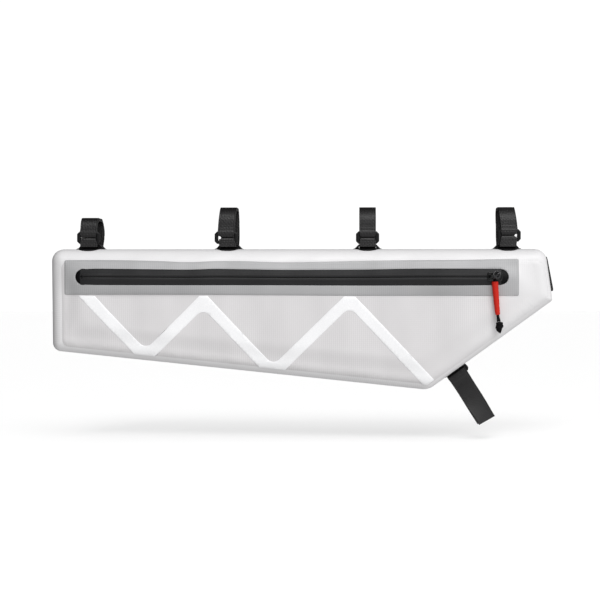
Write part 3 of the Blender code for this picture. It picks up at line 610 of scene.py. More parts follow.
@dataclass(frozen=True)
class MouldedNylon(Finish):
    """Glass-filled nylon, injection moulded in a spark-eroded tool: black, with a fine even grain."""

    grain: float = 0.35 * MM
    relief: float = 0.03 * MM

    def pattern(self, tree: Tree, cloth: Socket) -> tuple[Any, Any, float]:
        """The tool's grain, drawn a little coarser than it is so that it shows."""
        where = add_node(tree, "TexCoord")
        noise = add_node(
            tree, "TexNoise", values={"Scale": 1 / self.grain, "Detail": 3.0, "Roughness": 0.6},
            links={"Vector": where.outputs["Object"]},
        )  # fmt: skip
        return noise.outputs["Fac"], noise.outputs["Fac"], self.relief


@dataclass(frozen=True)
class ReflectiveTape(Finish):
    """Reflective film with glass beads, laminated: white, with a very fine sparkling cell pattern."""

    cell: float = 0.9 * MM
    relief: float = 0.015 * MM

    def pattern(self, tree: Tree, cloth: Socket) -> tuple[Any, Any, float]:
        """Cells of beads, drawn coarser than they are so that they show."""
        cells = add_node(
            tree, "TexVoronoi", settings={"feature": "SMOOTH_F1"},
            values={"Scale": 1 / self.cell, "Smoothness": 0.5}, links={"Vector": cloth},
        )  # fmt: skip
        return cells.outputs["Distance"], cells.outputs["Distance"], self.relief


# Ripstop laminate of the faces: light grey, matte, the TPU film leaves a faint soft gloss; towards the
# nose it is painted lighter, as painted light from the right
FACE = CoatedRipstop(
    "tpu_ripstop_light_grey", "face_laminate", "#DBD9DA", "#D3D1D2", 0.42,
    lines=0.2, cross=0.08, painted_light_colour="#E3E2E3",
)  # fmt: skip
# Laminate of the side strip: the same cloth, a little paler, its film smoother
EDGE = CoatedRipstop(
    "tpu_ripstop_pale_grey", "side_laminate", "#E9E8E9", "#E4E3E4", 0.42, lines=0.2, cross=0.08
)
# Laminate of the zip panel: mid grey, its thread lines show as fine darker stripes
PANEL = CoatedRipstop(
    "tpu_ripstop_mid_grey", "zip_panel_laminate", "#B0B0B1", "#9B9B9D", 0.42, lines=0.4, cross=0.15
)
# Zip tape, polyester coated with PU: black, satin, with a long soft highlight
TAPE = CoatedTape("pu_coated_zip_tape", "coated_zip_tape", "#282829", "#1B1B1C", 0.5, ior=1.28)
# Buckles, anchors and the mark on the zip: glass-filled nylon, moulded, with a satin sheen
NYLON = MouldedNylon("moulded_black_nylon", "black_moulding", "#131314", "#0B0B0C", 0.34, ior=1.3)
# Zip ends: moulded on to the tapes, a duller black than the buckles
SEAL = MouldedNylon("moulded_black_zip_end", "black_moulding", "#0E0E0F", "#080809", 0.42, ior=1.18)
# Slider and its bail: zinc, die-cast and painted a glossy black
PAINT = MouldedNylon("painted_black_zinc", "black_moulding", "#101011", "#0A0A0B", 0.22, relief=0.01 * MM)
# Straps: nylon webbing, woven, whose ribs break its highlights into a soft grid
WEBBING = WovenWebbing("woven_black_webbing", "black_webbing", "#1B1A1B", "#111011", 0.37, ior=1.42)
# Pull cord: polyester, braided, a dull black
CORD = BraidedCord("braided_black_cord", "black_cord", "#121113", "#060507", 0.5, ior=1.15)
# The same cord where it is tied round the bail: glossier, and painted lighter than the rest of the cord
# as a painted highlight
CORD_HIGHLIGHT = BraidedCord("black_cord_painted_highlight", "black_cord", "#2A292B", "#121113", 0.24, relief=0.09 * MM)
# Silicone sleeve, extruded: red, soft gloss
SLEEVE = MouldedNylon(
    "red_silicone_sleeve", "red_sleeve", "#CD281B", "#BA2115", 0.4, ior=1.28, grain=0.8 * MM
)
# Stripe: reflective film with glass beads, satin, whiter than the cloth
FILM = ReflectiveTape("white_reflective_film", "reflective_tape", "#FBFBFC", "#F1F1F3", 0.35)


def dress(piece: Piece, finish: Finish, nodes: Sequence[str] = ()) -> Piece:
    """Gives a piece its finish and fixes it to the bag.

    Args:
        piece: the piece, in place.
        finish: its finish.
        nodes: the solids that it stands for.

    Returns:
        The same piece.
    """
    piece.data.materials.clear()
    piece.data.materials.append(finish.material())
    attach(piece, BODY)
    if nodes:
        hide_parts(*nodes)
    log.info("%s: %d faces, %s", piece.name, len(piece.data.polygons), finish.name)
    return piece


# The bag's form


class Outline(Enum):
    """Edges of the side outline, clockwise from the top."""

    TOP = 0
    NOSE = 1
    OBLIQUE = 2
    BOTTOM = 3
    HEEL = 4


@dataclass
class BagForm:
    """Side outline, section and swell of the bag, and the lines that its parts follow."""

    top_length: float = 471.6 * MM
    top_drop: float = 20.2 * MM
    heel_height: float = 97.0 * MM
    heel_lean: float = 1.1 * MM
    nose_reach: float = 7.0 * MM
    nose_drop: float = 49.0 * MM
    belly_back: float = 111.2 * MM
    belly_drop: float = 134.3 * MM
    roundings: tuple[float, ...] = (11.5 * MM, 12 * MM, 3.5 * MM, 16 * MM, 8.5 * MM)
    width: float = 60 * MM
    edge_radius: float = 13 * MM
    crown: float = 3 * MM
    crown_depth: float = 30 * MM
    crown_corner: float = 18 * MM
    tightest: float = 1.5 * MM
    shortest_edge: float = 2 * MM
    halvings: int = 22
    panel_top_margin: float = 10.7 * MM
    panel_heel_margin: float = 14.5 * MM
    panel_nose_margin: float = 26.4 * MM
    panel_height: float = 33.5 * MM
    zip_rise: float = 0.85 * MM
    zip_half_height: float = 7.2 * MM
    # How far the cloth has moved up along the zip: share of the panel's length, then millimetres at
    # the panel's top, the zip's top, the zip's bottom and the panel's bottom
    sway: tuple[tuple[float, ...], ...] = (
        (0.0, 0.0, 0.0, 0.0, 0.55), (0.09, 0.0, 0.0, -0.35, 0.6), (0.2, -0.85, -0.5, -0.5, 0.6),
        (0.28, -2.0, -0.75, -0.55, 0.55), (0.335, -1.05, -0.1, -0.55, 0.4),
        (0.4, -1.2, -0.5, -0.55, 0.2), (0.48, -2.5, -1.0, -0.6, 0.0),
        (0.57, -1.8, -0.95, -0.75, -0.2), (0.66, -0.9, -0.8, -0.85, -0.4),
        (0.76, -0.3, -0.1, -0.8, -0.5), (0.88, 0.0, 0.0, -0.75, -0.5),
        (0.94, 0.5, -0.2, -0.5, -0.5), (1.0, 1.0, 0.0, 0.0, -0.5),
    )  # fmt: skip
    # The zip's ridge: share of the panel's length, height in millimetres
    ridge: ClassVar[tuple[tuple[float, float], ...]] = (
        (0.0, 3.6), (0.08, 5.8), (0.2, 5.4), (0.36, 3.0), (0.5, 1.9), (0.63, 1.1), (0.72, 2.6),
        (0.82, 5.4), (0.9, 3.6), (0.96, 2.4), (1.0, 1.8),
    )  # fmt: skip
    # Upright creases by the heel: place from the heel, half width, height, start and end below the axis
    creases: ClassVar[tuple[tuple[float, ...], ...]] = (
        (15.5 * MM, 1.9 * MM, 0.22 * MM, 60 * MM, 112 * MM),
        (20.5 * MM, 2.4 * MM, 0.2 * MM, 66 * MM, 104 * MM),
    )
    # Soft ripples of the filled cloth: wave length, slant, phase and height
    ripples: ClassVar[tuple[tuple[float, ...], ...]] = (
        (57 * MM, 0.35, 0.4, 0.32 * MM),
        (33 * MM, -0.5, 1.9, 0.16 * MM),
        (19 * MM, 0.15, 3.1, 0.05 * MM),
    )
    # Shares of the panel's length by which the ridge starts before the panel and has risen
    ridge_past: float = 0.03
    ridge_fade: float = 0.06
    # How far its crest lies over the panel's middle, and its upper foot over the panel's top
    ridge_rise: float = 2 * MM
    ridge_over: float = 7 * MM
    corners: Array = field(init=False)
    along: Array = field(init=False)
    inward: Array = field(init=False)

    def __post_init__(self) -> None:
        """Works out the outline's corners and edges, and the places along the zip."""
        heel, nose, top = -self.top_length / 2, self.top_length / 2, -self.top_drop
        self.corners = np.array(
            [
                (heel, top), (nose, top), (nose + self.nose_reach, top - self.nose_drop),
                (nose - self.belly_back, top - self.belly_drop),
                (heel + self.heel_lean, top - self.heel_height),
            ]  # fmt: skip
        )
        self.along = unit(np.roll(self.corners, -1, axis=0) - self.corners)
        self.inward = np.stack([self.along[:, 1], -self.along[:, 0]], axis=1)
        self.top = top
        self.heel_x, self.nose_x = heel, nose
        self.panel_top = top - self.panel_top_margin
        self.panel_bottom = self.panel_top - self.panel_height
        self.panel_heel = heel + self.panel_heel_margin
        self.panel_nose = nose - self.panel_nose_margin
        self.zip_middle = (self.panel_top + self.panel_bottom) / 2 + self.zip_rise
        self.side_flat = self.width / 2 - self.edge_radius
        before = np.roll(self.inward, 1, axis=0)
        self.bends = np.arccos(np.clip((before * self.inward).sum(axis=1), -1, 1))
        self.ways = (before + self.inward) / (1 + (before * self.inward).sum(axis=1))[:, None]
        self.depths = np.linspace(0, self.crown_depth, 121)
        rings = [self.ring_parts(self.moved_in(d), self.ring_radii(d)) for d in self.depths]
        self.table_moves = np.array([self.moved_in(d) for d in self.depths])
        self.table_centres = np.array([centres for _, centres, _ in rings])
        self.table_radii = np.array([radii for _, _, radii in rings])

    def moved_in(self, depth: float) -> Array:
        """How far each edge has moved in on the ring at a depth."""
        lengths = np.linalg.norm(np.roll(self.corners, -1, axis=0) - self.corners, axis=1)
        after = np.roll(self.bends, -1)
        lost = depth * (np.tan(self.bends / 2) + np.tan(after / 2))
        short = self.shortest_edge - (lengths - lost)
        gain = 1 / np.tan(self.bends) + 1 / np.tan(after)
        return depth + np.where(short > 0, short / gain, 0)

    def ring_radii(self, depth: float) -> Array:
        """The roundings wished for on the ring at a depth."""
        spread = (depth - self.edge_radius) / (self.crown_depth - self.edge_radius)
        widest = self.tightest + (self.crown_corner - self.tightest) * min(1.0, max(0.0, spread))
        return np.maximum(np.array(self.roundings) - depth, widest)

    def ring_parts(self, moves: Array, radii: Array) -> tuple[Array, Array, Array]:
        """Corners of a ring whose edges have moved in.

        Args:
            moves: how far each edge has moved in.
            radii: the wished rounding of each corner.

        Returns:
            The sharp corners, the roundings' centres, and their radii, limited by the edges' room.
        """
        before, after = np.roll(self.inward, 1, axis=0), self.inward
        last = np.roll(moves, 1)
        cross = before[:, 0] * after[:, 1] - before[:, 1] * after[:, 0]
        in_x = (last * after[:, 1] - moves * before[:, 1]) / cross
        in_z = (before[:, 0] * moves - after[:, 0] * last) / cross
        sharp = self.corners + np.stack([in_x, in_z], axis=1)
        reach, radii = np.tan(self.bends / 2), radii.copy()
        for i in range(len(sharp)):
            j = (i + 1) % len(sharp)
            room = SIDE_ROOM * np.linalg.norm(sharp[j] - sharp[i])
            taken = radii[i] * reach[i] + radii[j] * reach[j]
            if taken > room:
                radii[i] *= room / taken
                radii[j] *= room / taken
        return sharp, sharp + self.ways * radii[:, None], radii

    def ring(self, moves: Array, radii: Array, steps: int = 14, stretch: float = 4 * MM) -> Array:
        """Points (x, z) of a ring, equally many for any moves.

        Args:
            moves: how far each edge has moved in.
            radii: the wished rounding of each corner.
            steps: facets of each rounding.
            stretch: about how far apart the points on the straight edges are.

        Returns:
            The ring's points.
        """
        _, centres, radii = self.ring_parts(moves, radii)
        arcs = []
        for i, centre in enumerate(centres):
            start = math.atan2(-self.inward[i - 1][1], -self.inward[i - 1][0])
            angles = start - self.bends[i] * np.arange(steps + 1) / steps
            arcs.append(centre + radii[i] * np.stack([np.cos(angles), np.sin(angles)], axis=1))
        points = []
        for i, arc in enumerate(arcs):
            j = (i + 1) % len(arcs)
            span = np.linalg.norm(self.corners[j] - self.corners[i])
            count = max(2, round(span / stretch))
            shares = np.arange(1, count)[:, None] / count
            points += [arc, arc[-1] * (1 - shares) + arcs[j][0] * shares]
        return np.concatenate(points)

    def outside(self, points: Array, depth: Array) -> Array:
        """Whether each point lies outside the ring at its own depth."""
        out = np.zeros(len(points), bool)
        rounded = np.zeros(len(points), bool)
        for i, corner in enumerate(self.corners):
            move = np.interp(depth, self.depths, self.table_moves[:, i])
            out |= (points - corner) @ self.inward[i] < move
            centre = np.stack(
                [np.interp(depth, self.depths, self.table_centres[:, i, a]) for a in (0, 1)], axis=1
            )
            radius = np.interp(depth, self.depths, self.table_radii[:, i])
            away = points - centre
            wedge = (away @ self.along[i - 1] > 0) & (away @ self.along[i] < 0)
            rounded |= wedge & (np.linalg.norm(away, axis=1) > radius)
        return out | rounded

    def depth_at(self, points: Array) -> Array:
        """How far in each point of the side view lies."""
        low = np.zeros(len(points))
        high = np.full(len(points), self.crown_depth)
        flat = ~self.outside(points, high)
        for _ in range(self.halvings):
            middle = (low + high) / 2
            out = self.outside(points, middle)
            high = np.where(out, middle, high)
            low = np.where(out, low, middle)
        return np.where(flat, self.crown_depth, low)

    def half_width(self, depth: Array) -> Array:
        """Half the bag's width this far in from its outline."""
        radius = self.edge_radius
        inside = np.clip(depth, 0, radius)
        folded = self.side_flat + np.sqrt(np.maximum(0, radius**2 - (radius - inside) ** 2))
        return folded + self.crown * ease(radius, self.crown_depth, depth)

    def relief(self, points: Array, side: Side) -> Array:
        """What the filled, welded cloth adds to the even form: the zip's ridge and soft creases."""
        x, z = points[:, 0], points[:, 1]
        lift = np.zeros(len(points))
        for length, slant, phase, height in self.ripples:
            lift = lift + height * np.sin(2 * math.pi * (x + slant * z) / length + phase)
        if side is Side.FRONT:
            share = (x - self.panel_heel) / (self.panel_nose - self.panel_heel)
            height = flow(*zip(*self.ridge), share) * MM
            past, fade = self.ridge_past, self.ridge_fade
            ends = ease(-past, fade, share) * (1 - ease(1 - fade, 1 + past, share))
            middle = (self.panel_top + self.panel_bottom) / 2 + self.ridge_rise
            above = np.clip((z - middle) / (self.panel_top + self.ridge_over - middle), 0, 1)
            below = np.clip((middle - z) / (middle - self.panel_bottom), 0, 1)
            arch = np.where(z > middle, 1 - ease(0, 1, above), 1 - below**2)
            lift = lift + height * ends * arch
            for place, wide, high, low, top in self.creases:
                across = (x - self.heel_x - place) / wide
                reach = ease(low, low + 12 * MM, -z) * (1 - ease(top, top + 15 * MM, -z))
                lift = lift + high * np.exp(-(across**2)) * reach
        return lift

    def skin(self, points: Array, side: Side) -> Array:
        """The skin's distance from the bag's middle plane at points of the side view."""
        depth = self.depth_at(points)
        fade = ease(3 * MM, 12 * MM, depth)
        return self.half_width(depth) + fade * self.relief(points, side)

    def warp(self, points: Array) -> Array:
        """Moves points of the front's side view as the cloth has swayed along the zip."""
        x, z = points[:, 0], points[:, 1]
        share = (x - self.panel_heel) / (self.panel_nose - self.panel_heel)
        columns = list(zip(*self.sway))
        half = self.zip_half_height
        levels = (
            self.top - 3 * MM, self.panel_top, self.zip_middle + half, self.zip_middle - half,
            self.panel_bottom, self.panel_bottom - 14 * MM,
        )  # fmt: skip
        shifts = [np.zeros(len(x))]
        shifts += [flow(columns[0], column, share) * MM for column in columns[1:]]
        shifts.append(np.zeros(len(x)))
        moved = np.zeros(len(x))
        for (high, low), (above, below) in zip(zip(levels, levels[1:]), zip(shifts, shifts[1:])):
            inside = (z <= high) & (z > low)
            t = (high - z) / (high - low)
            moved = np.where(inside, above * (1 - t) + below * t, moved)
        ends = ease(-0.05, 0, share) * (1 - ease(1, 1.05, share))
        return np.stack([x, z + moved * ends], axis=1)


# Sheets laid on the bag


def cut_flat(loops: Sequence[Sequence[tuple[float, float]]], cell: float) -> bmesh.types.BMesh:
    """A flat sheet in the side view, cut into cells.

    Args:
        loops: its outline, then the outlines of its holes.
        cell: the cells' size.

    Returns:
        The sheet's mesh.
    """
    work = bmesh.new()
    for loop in loops:
        verts = [work.verts.new((x, 0, z)) for x, z in loop]
        for i, vert in enumerate(verts):
            work.edges.new((vert, verts[(i + 1) % len(verts)]))
    bmesh.ops.triangle_fill(work, edges=work.edges[:], use_beauty=True, normal=(0, -1, 0))
    points = np.array([(x, z) for x, z in loops[0]])
    for axis in (0, 1):
        low, high = points[:, axis].min(), points[:, axis].max()
        count = max(1, round((high - low) / cell))
        normal = (1, 0, 0) if axis == 0 else (0, 0, 1)
        for k in range(1, count):
            place = low + (high - low) * k / count
            centre = (place, 0, 0) if axis == 0 else (0, 0, place)
            bmesh.ops.bisect_plane(
                work, geom=work.verts[:] + work.edges[:] + work.faces[:], dist=CUT_PLAY,
                plane_co=centre, plane_no=normal,
            )  # fmt: skip
    bmesh.ops.dissolve_degenerate(work, edges=work.edges[:], dist=SHORT_EDGE)
    return work


@dataclass(frozen=True)
class Sheet:
    """A sheet of laminate or tape, welded on to one of the faces."""

    name: str
    loops: tuple[tuple[tuple[float, float], ...], ...]
    low: float
    high: float
    cell: float = 3 * MM
    rim: float = 0.25 * MM
    drop: float = 0.2 * MM
    # How far the sheet sinks towards its outline, and over what width
    sink: float = 0.0
    soft: float = 1 * MM
    side: Side = Side.FRONT

    def rim_distance(self, points: Array) -> Array:
        """How far points (x, z) lie from the sheet's outline."""
        loop = np.array(self.loops[0])
        nearest = np.full(len(points), np.inf)
        for start, end in zip(loop, np.roll(loop, -1, axis=0)):
            way = end - start
            share = np.clip((points - start) @ way / max(way @ way, 1e-18), 0, 1)
            away = points - start - share[:, None] * way
            nearest = np.minimum(nearest, np.linalg.norm(away, axis=1))
        return nearest

    def build(self, form: BagForm) -> Piece:
        """Lays the sheet on the bag's skin as a closed piece with a softened rim.

        Args:
            form: the bag's form.

        Returns:
            The piece.
        """
        work = cut_flat(self.loops, self.cell)
        bmesh.ops.inset_region(
            work, faces=work.faces[:], thickness=self.rim, use_boundary=True, use_even_offset=True
        )
        work.verts.index_update()
        flat = np.array([(v.co.x, v.co.z) for v in work.verts])
        on_rim = np.array([v.is_boundary for v in work.verts])
        moved = form.warp(flat) if self.side is Side.FRONT else flat
        skin = form.skin(moved, self.side)
        sign = self.side.value
        top = skin + self.high - self.drop * on_rim
        if self.sink:
            top = top - self.sink * (1 - ease(0, self.soft, self.rim_distance(flat)))
        layers = [skin + self.low, top]
        vertices = np.concatenate(
            [np.stack([moved[:, 0], sign * y, moved[:, 1]], axis=1) for y in layers]
        )
        count = len(flat)
        faces: list[tuple[int, ...]] = []
        for face in work.faces:
            corners = [v.index for v in face.verts]
            faces.append(tuple(corners))
            faces.append(tuple(count + i for i in reversed(corners)))
        for edge in work.edges:
            if edge.is_boundary:
                a, b = (v.index for v in edge.verts)
                faces.append((a, b, count + b, count + a))
        work.free()
        return make_mesh(self.name, vertices, faces, np.concatenate([flat, flat]), sharp=60)


def trimmed(points: Sequence[Vector], spot: Vector, way: Vector) -> list[Vector]:
    """The part of a flat outline that lies behind a line.

    Args:
        points: the outline's corners.
        spot: a point on the line.
        way: the line's normal, away from what is kept.

    Returns:
        The corners of what is kept.
    """
    kept = []
    for i, point in enumerate(points):
        follows = points[(i + 1) % len(points)]
        over, next_over = (point - spot).dot(way), (follows - spot).dot(way)
        if over <= 0:
            kept.append(point)
        if over * next_over < 0:
            kept.append(point.lerp(follows, over / (over - next_over)))
    return [point for i, point in enumerate(kept) if (point - kept[i - 1]).length > 0.1 * MM]


def closed(points: Sequence[Sequence[float]]) -> tuple[tuple[float, float], ...]:
    """Points as a tuple, for a sheet's outline."""
    return tuple((float(a), float(b)) for a, b in points)


@dataclass
class Shell:
    """The bag's laminate: side strip, two faces, and the seams between them."""

    form: BagForm
    wall: float = 1.5 * MM
    sheet: float = 0.5 * MM
    underlap: float = 2 * MM
    # How far in from each edge of the outline the side strip reaches: top, nose, oblique, bottom, heel
    front_seams: tuple[float, ...] = (12.2 * MM, 3.6 * MM, 4.2 * MM, 5.6 * MM, 11.2 * MM)
    back_seams: tuple[float, ...] = (6 * MM, 6 * MM, 6 * MM, 6 * MM, 6 * MM)
    seam_corner: float = 6 * MM
    feather: float = 2.6 * MM
    rows: int = 9
    # How the faces' rims fall, and how far the window lies from the panel's ends and from the zip
    drop: float = 0.1 * MM
    sink: float = 0.42 * MM
    window_heel: float = 9 * MM
    window_nose: float = 8 * MM
    window_more: float = 1.5 * MM

    def seam_ring(self, seams: Sequence[float], more: float = 0.0) -> Array:
        """The ring that a seam follows.

        Args:
            seams: how far in it lies from each edge.
            more: how much further in it goes.

        Returns:
            The ring's points.
        """
        moves = np.array(seams) + more
        nearer = (moves + np.roll(moves, 1)) / 2
        return self.form.ring(moves, np.maximum(np.array(self.form.roundings) - nearer, self.seam_corner))

    def strip_row(self, seams: Sequence[float], share: float, side: Side) -> Array:
        """One ring of the side strip.

        Args:
            seams: how far in the strip reaches on this side.
            share: 0 on the strip's flat, 1 at its seam.
            side: front or back.

        Returns:
            The ring's points.
        """
        radius = self.form.edge_radius
        reach = np.minimum(np.array(seams) / radius, 1)
        angles = np.arccos(1 - reach) * share
        moves = radius * (1 - np.cos(angles))
        nearer = (moves + np.roll(moves, 1)) / 2
        radii = np.maximum(np.array(self.form.roundings) - nearer, self.form.tightest)
        ring = self.form.ring(moves, radii + (self.seam_corner - self.form.tightest) * share**2)
        y = side.value * self.form.skin(ring, side)
        return np.stack([ring[:, 0], y, ring[:, 1]], axis=1)

    def build_strip(self) -> Piece:
        """The side strip, with the wall's thickness."""
        shares = np.linspace(0, 1, self.rows)
        rings = []
        for side, seams in ((Side.FRONT, self.front_seams), (Side.BACK, self.back_seams)):
            under = self.seam_ring(seams, self.underlap)
            y = side.value * (self.form.skin(under, side) - 0.1 * MM)
            last = np.stack([under[:, 0], y, under[:, 1]], axis=1)
            part = [self.strip_row(seams, share, side) for share in shares] + [last]
            rings += part[::-1] if side is Side.FRONT else part
        table = np.array(rings)
        count, around = table.shape[:2]
        u = np.concatenate([[0], np.cumsum(np.linalg.norm(np.diff(table[self.rows], axis=0), axis=1))])
        v = np.concatenate([[0], np.cumsum(np.linalg.norm(np.diff(table, axis=0), axis=2).mean(axis=1))])
        closing = u[-1] + np.linalg.norm(table[self.rows][0] - table[self.rows][-1])
        faces, uvs = [], []
        for k in range(count - 1):
            for i in range(around):
                j = (i + 1) % around
                faces.append((k * around + i, k * around + j, (k + 1) * around + j, (k + 1) * around + i))
                u1 = u[j] if j else closing
                uvs += [(u[i], v[k]), (u1, v[k]), (u1, v[k + 1]), (u[i], v[k + 1])]
        strip = make_mesh("side_strip", table.reshape(-1, 3), faces, np.array(uvs), sharp=80)
        inside = strip.modifiers.new("wall", "SOLIDIFY")
        inside.thickness = self.wall
        inside.offset = -1
        apply_modifiers(strip)
        return strip

    def build(self) -> None:
        """Builds and dresses the shell."""
        dress(self.build_strip(), EDGE, ["gusset"])
        form = self.form
        half = form.zip_half_height
        window = pill(
            form.panel_heel + self.window_heel, form.panel_nose - self.window_nose,
            form.zip_middle - half - self.window_more, form.zip_middle + half + self.window_more, half,
        )  # fmt: skip
        front = Sheet(
            "front_face", (closed(self.seam_ring(self.front_seams)), closed(window)),
            -self.wall + self.sheet, self.sheet, drop=self.drop, sink=self.sink, soft=self.feather,
        )  # fmt: skip
        dress(front.build(form), FACE, ["front_panel"])
        back = Sheet(
            "back_face", (closed(self.seam_ring(self.back_seams)),), -self.wall + self.sheet,
            self.sheet, drop=self.drop, sink=self.sink, soft=self.feather, side=Side.BACK,
        )  # fmt: skip
        dress(back.build(form), FACE, ["back_panel"])


@dataclass
class ZipSet:
    """The zip: grey panel round it, two coated tapes, moulded ends and its slider."""

    form: BagForm
    heel_margin: float = 11.2 * MM
    nose_margin: float = 10.0 * MM
    panel_lift: float = 0.5 * MM
    panel_thickness: float = 0.6 * MM
    panel_corner: float = 1.5 * MM
    end_heel: float = 5.9 * MM
    end_nose: float = 7.7 * MM
    tape_lift: float = 1.0 * MM
    end_inset: float = 0.3 * MM
    station: float = 2.5 * MM
    overlap: float = 1.0 * MM

    def __post_init__(self) -> None:
        """Works out the zip's ends."""
        self.heel = self.form.panel_heel + self.heel_margin
        self.nose = self.form.panel_nose - self.nose_margin

    def around(self, more: float) -> list[tuple[float, float]]:
        """The zip's outline, this much larger all round."""
        half = self.form.zip_half_height + more
        middle = self.form.zip_middle
        return pill(self.heel - more, self.nose + more, middle - half, middle + half, half - 0.1 * MM, 14)

    def build_panel(self) -> Piece:
        """The grey panel, with the zip's window and a welded lip round it."""
        form = self.form
        outer = pill(
            form.panel_heel, form.panel_nose, form.panel_bottom, form.panel_top, self.panel_corner, 5
        )
        panel = Sheet(
            "zip_surround", (closed(outer), closed(self.around(0.1 * MM))), self.panel_lift,
            self.panel_lift + self.panel_thickness, rim=0.5 * MM, drop=0.35 * MM,
        )  # fmt: skip
        return panel.build(form)

    def place(self, x: Array, height: Array, lift: Array) -> Array:
        """Points on the zip, swayed with the cloth.

        Args:
            x: place along the bag.
            height: over the zip's middle.
            lift: over the bag's skin.

        Returns:
            The points.
        """
        flat = np.stack([x, self.form.zip_middle + height], axis=1)
        moved = self.form.warp(flat)
        y = -(self.form.skin(moved, Side.FRONT) + lift)
        return np.stack([moved[:, 0], y, moved[:, 1]], axis=1)

    def build_tape(self, name: str, sign: int) -> Piece:
        """One half of the zip, from the heel's end to the nose's.

        Args:
            name: the piece's name.
            sign: 1 for the upper half, -1 for the lower.

        Returns:
            The piece.
        """
        half = self.form.zip_half_height
        top = self.tape_lift
        # Share of the half height, lift in millimetres
        section = np.array(
            [
                (0.02, -0.6), (0.02, 0.3), (0.05, 0.55), (0.1, 0.78), (0.18, 0.95), (0.3, 1.1),
                (0.42, 1.05), (0.52, 0.85), (0.6, 0.68), (0.75, 0.62), (0.9, 0.6), (1.0, 0.45),
                (1.12, 0.3), (1.12, -0.6),
            ]  # fmt: skip
        )
        heights = sign * section[:, 0] * half
        lifts = section[:, 1] * MM + top - 0.4 * MM
        start = self.heel + self.end_heel - self.overlap
        end = self.nose - self.end_nose + self.overlap
        stations = np.linspace(start, end, round((end - start) / self.station))
        rings = [self.place(np.full(len(heights), x), heights, lifts) for x in stations]
        tape = loft(name, rings, sharp=55)
        where = np.array([v.co for v in tape.data.vertices])[corner_points(tape.data)]
        lay_cloth(tape.data, where[:, [0, 2]])
        return tape

    def build_end(self, name: str, tip: float, toward: int, length: float) -> Piece:
        """A moulded half-round end, a low dome over the tapes' ends.

        Args:
            name: the piece's name.
            tip: place of its tip.
            toward: 1 where the tapes lie towards the nose, -1 where they lie towards the heel.
            length: from its tip to where the tapes start.

        Returns:
            The piece.
        """
        half = self.form.zip_half_height - self.end_inset
        outline = []
        for k in range(25):
            angle = math.radians(90 + 180 * k / 24)
            outline.append((half + half * math.cos(angle), half * math.sin(angle)))
        flat_end = [(length, -half), (length, half)] if length > half else []
        if length <= half:
            outline = [(min(a, length), b) for a, b in outline if a <= length + 2 * MM]
        outline = np.array(outline + flat_end)
        centre = np.array([length * 0.6, 0])
        rings = []
        # Share of the outline, lift in millimetres
        dome = ((1, -0.8), (1, 0.75), (0.97, 1.0), (0.9, 1.12), (0.75, 1.2), (0.4, 1.25), (0.02, 1.27))
        for share, lift in dome:
            spots = centre + (outline - centre) * share
            x = tip + toward * spots[:, 0]
            rings.append(self.place(x, spots[:, 1], np.full(len(x), lift * MM)))
        return loft(name, rings, sharp=50)

    def build_stop(self) -> Piece:
        """The small upright mark moulded into the heel end."""
        x, tall = self.heel + 6.6 * MM, 2.6 * MM
        outline = np.array(pill(-0.5 * MM, 0.5 * MM, -tall, tall, 0.45 * MM, 4))
        rings = []
        for share, lift in ((1, 0.9), (1, 1.5), (0.8, 1.65)):
            across, height = (outline * share).T
            rings.append(self.place(x + across, height, np.full(len(outline), lift * MM)))
        return loft("zip_stop", rings, sharp=40)

    def build(self) -> None:
        """Builds and dresses the zip."""
        dress(self.build_panel(), PANEL, ["zip_panel"])
        dress(self.build_tape("tape_upper", 1), TAPE, ["zip_tape_upper"])
        dress(self.build_tape("tape_lower", -1), TAPE, ["zip_tape_lower"])
        dress(self.build_end("end_heel", self.heel, 1, self.end_heel), SEAL, ["zip_end_heel"])
        dress(self.build_end("end_nose", self.nose, -1, self.end_nose), SEAL, ["zip_end_nose"])
        dress(self.build_stop(), NYLON)


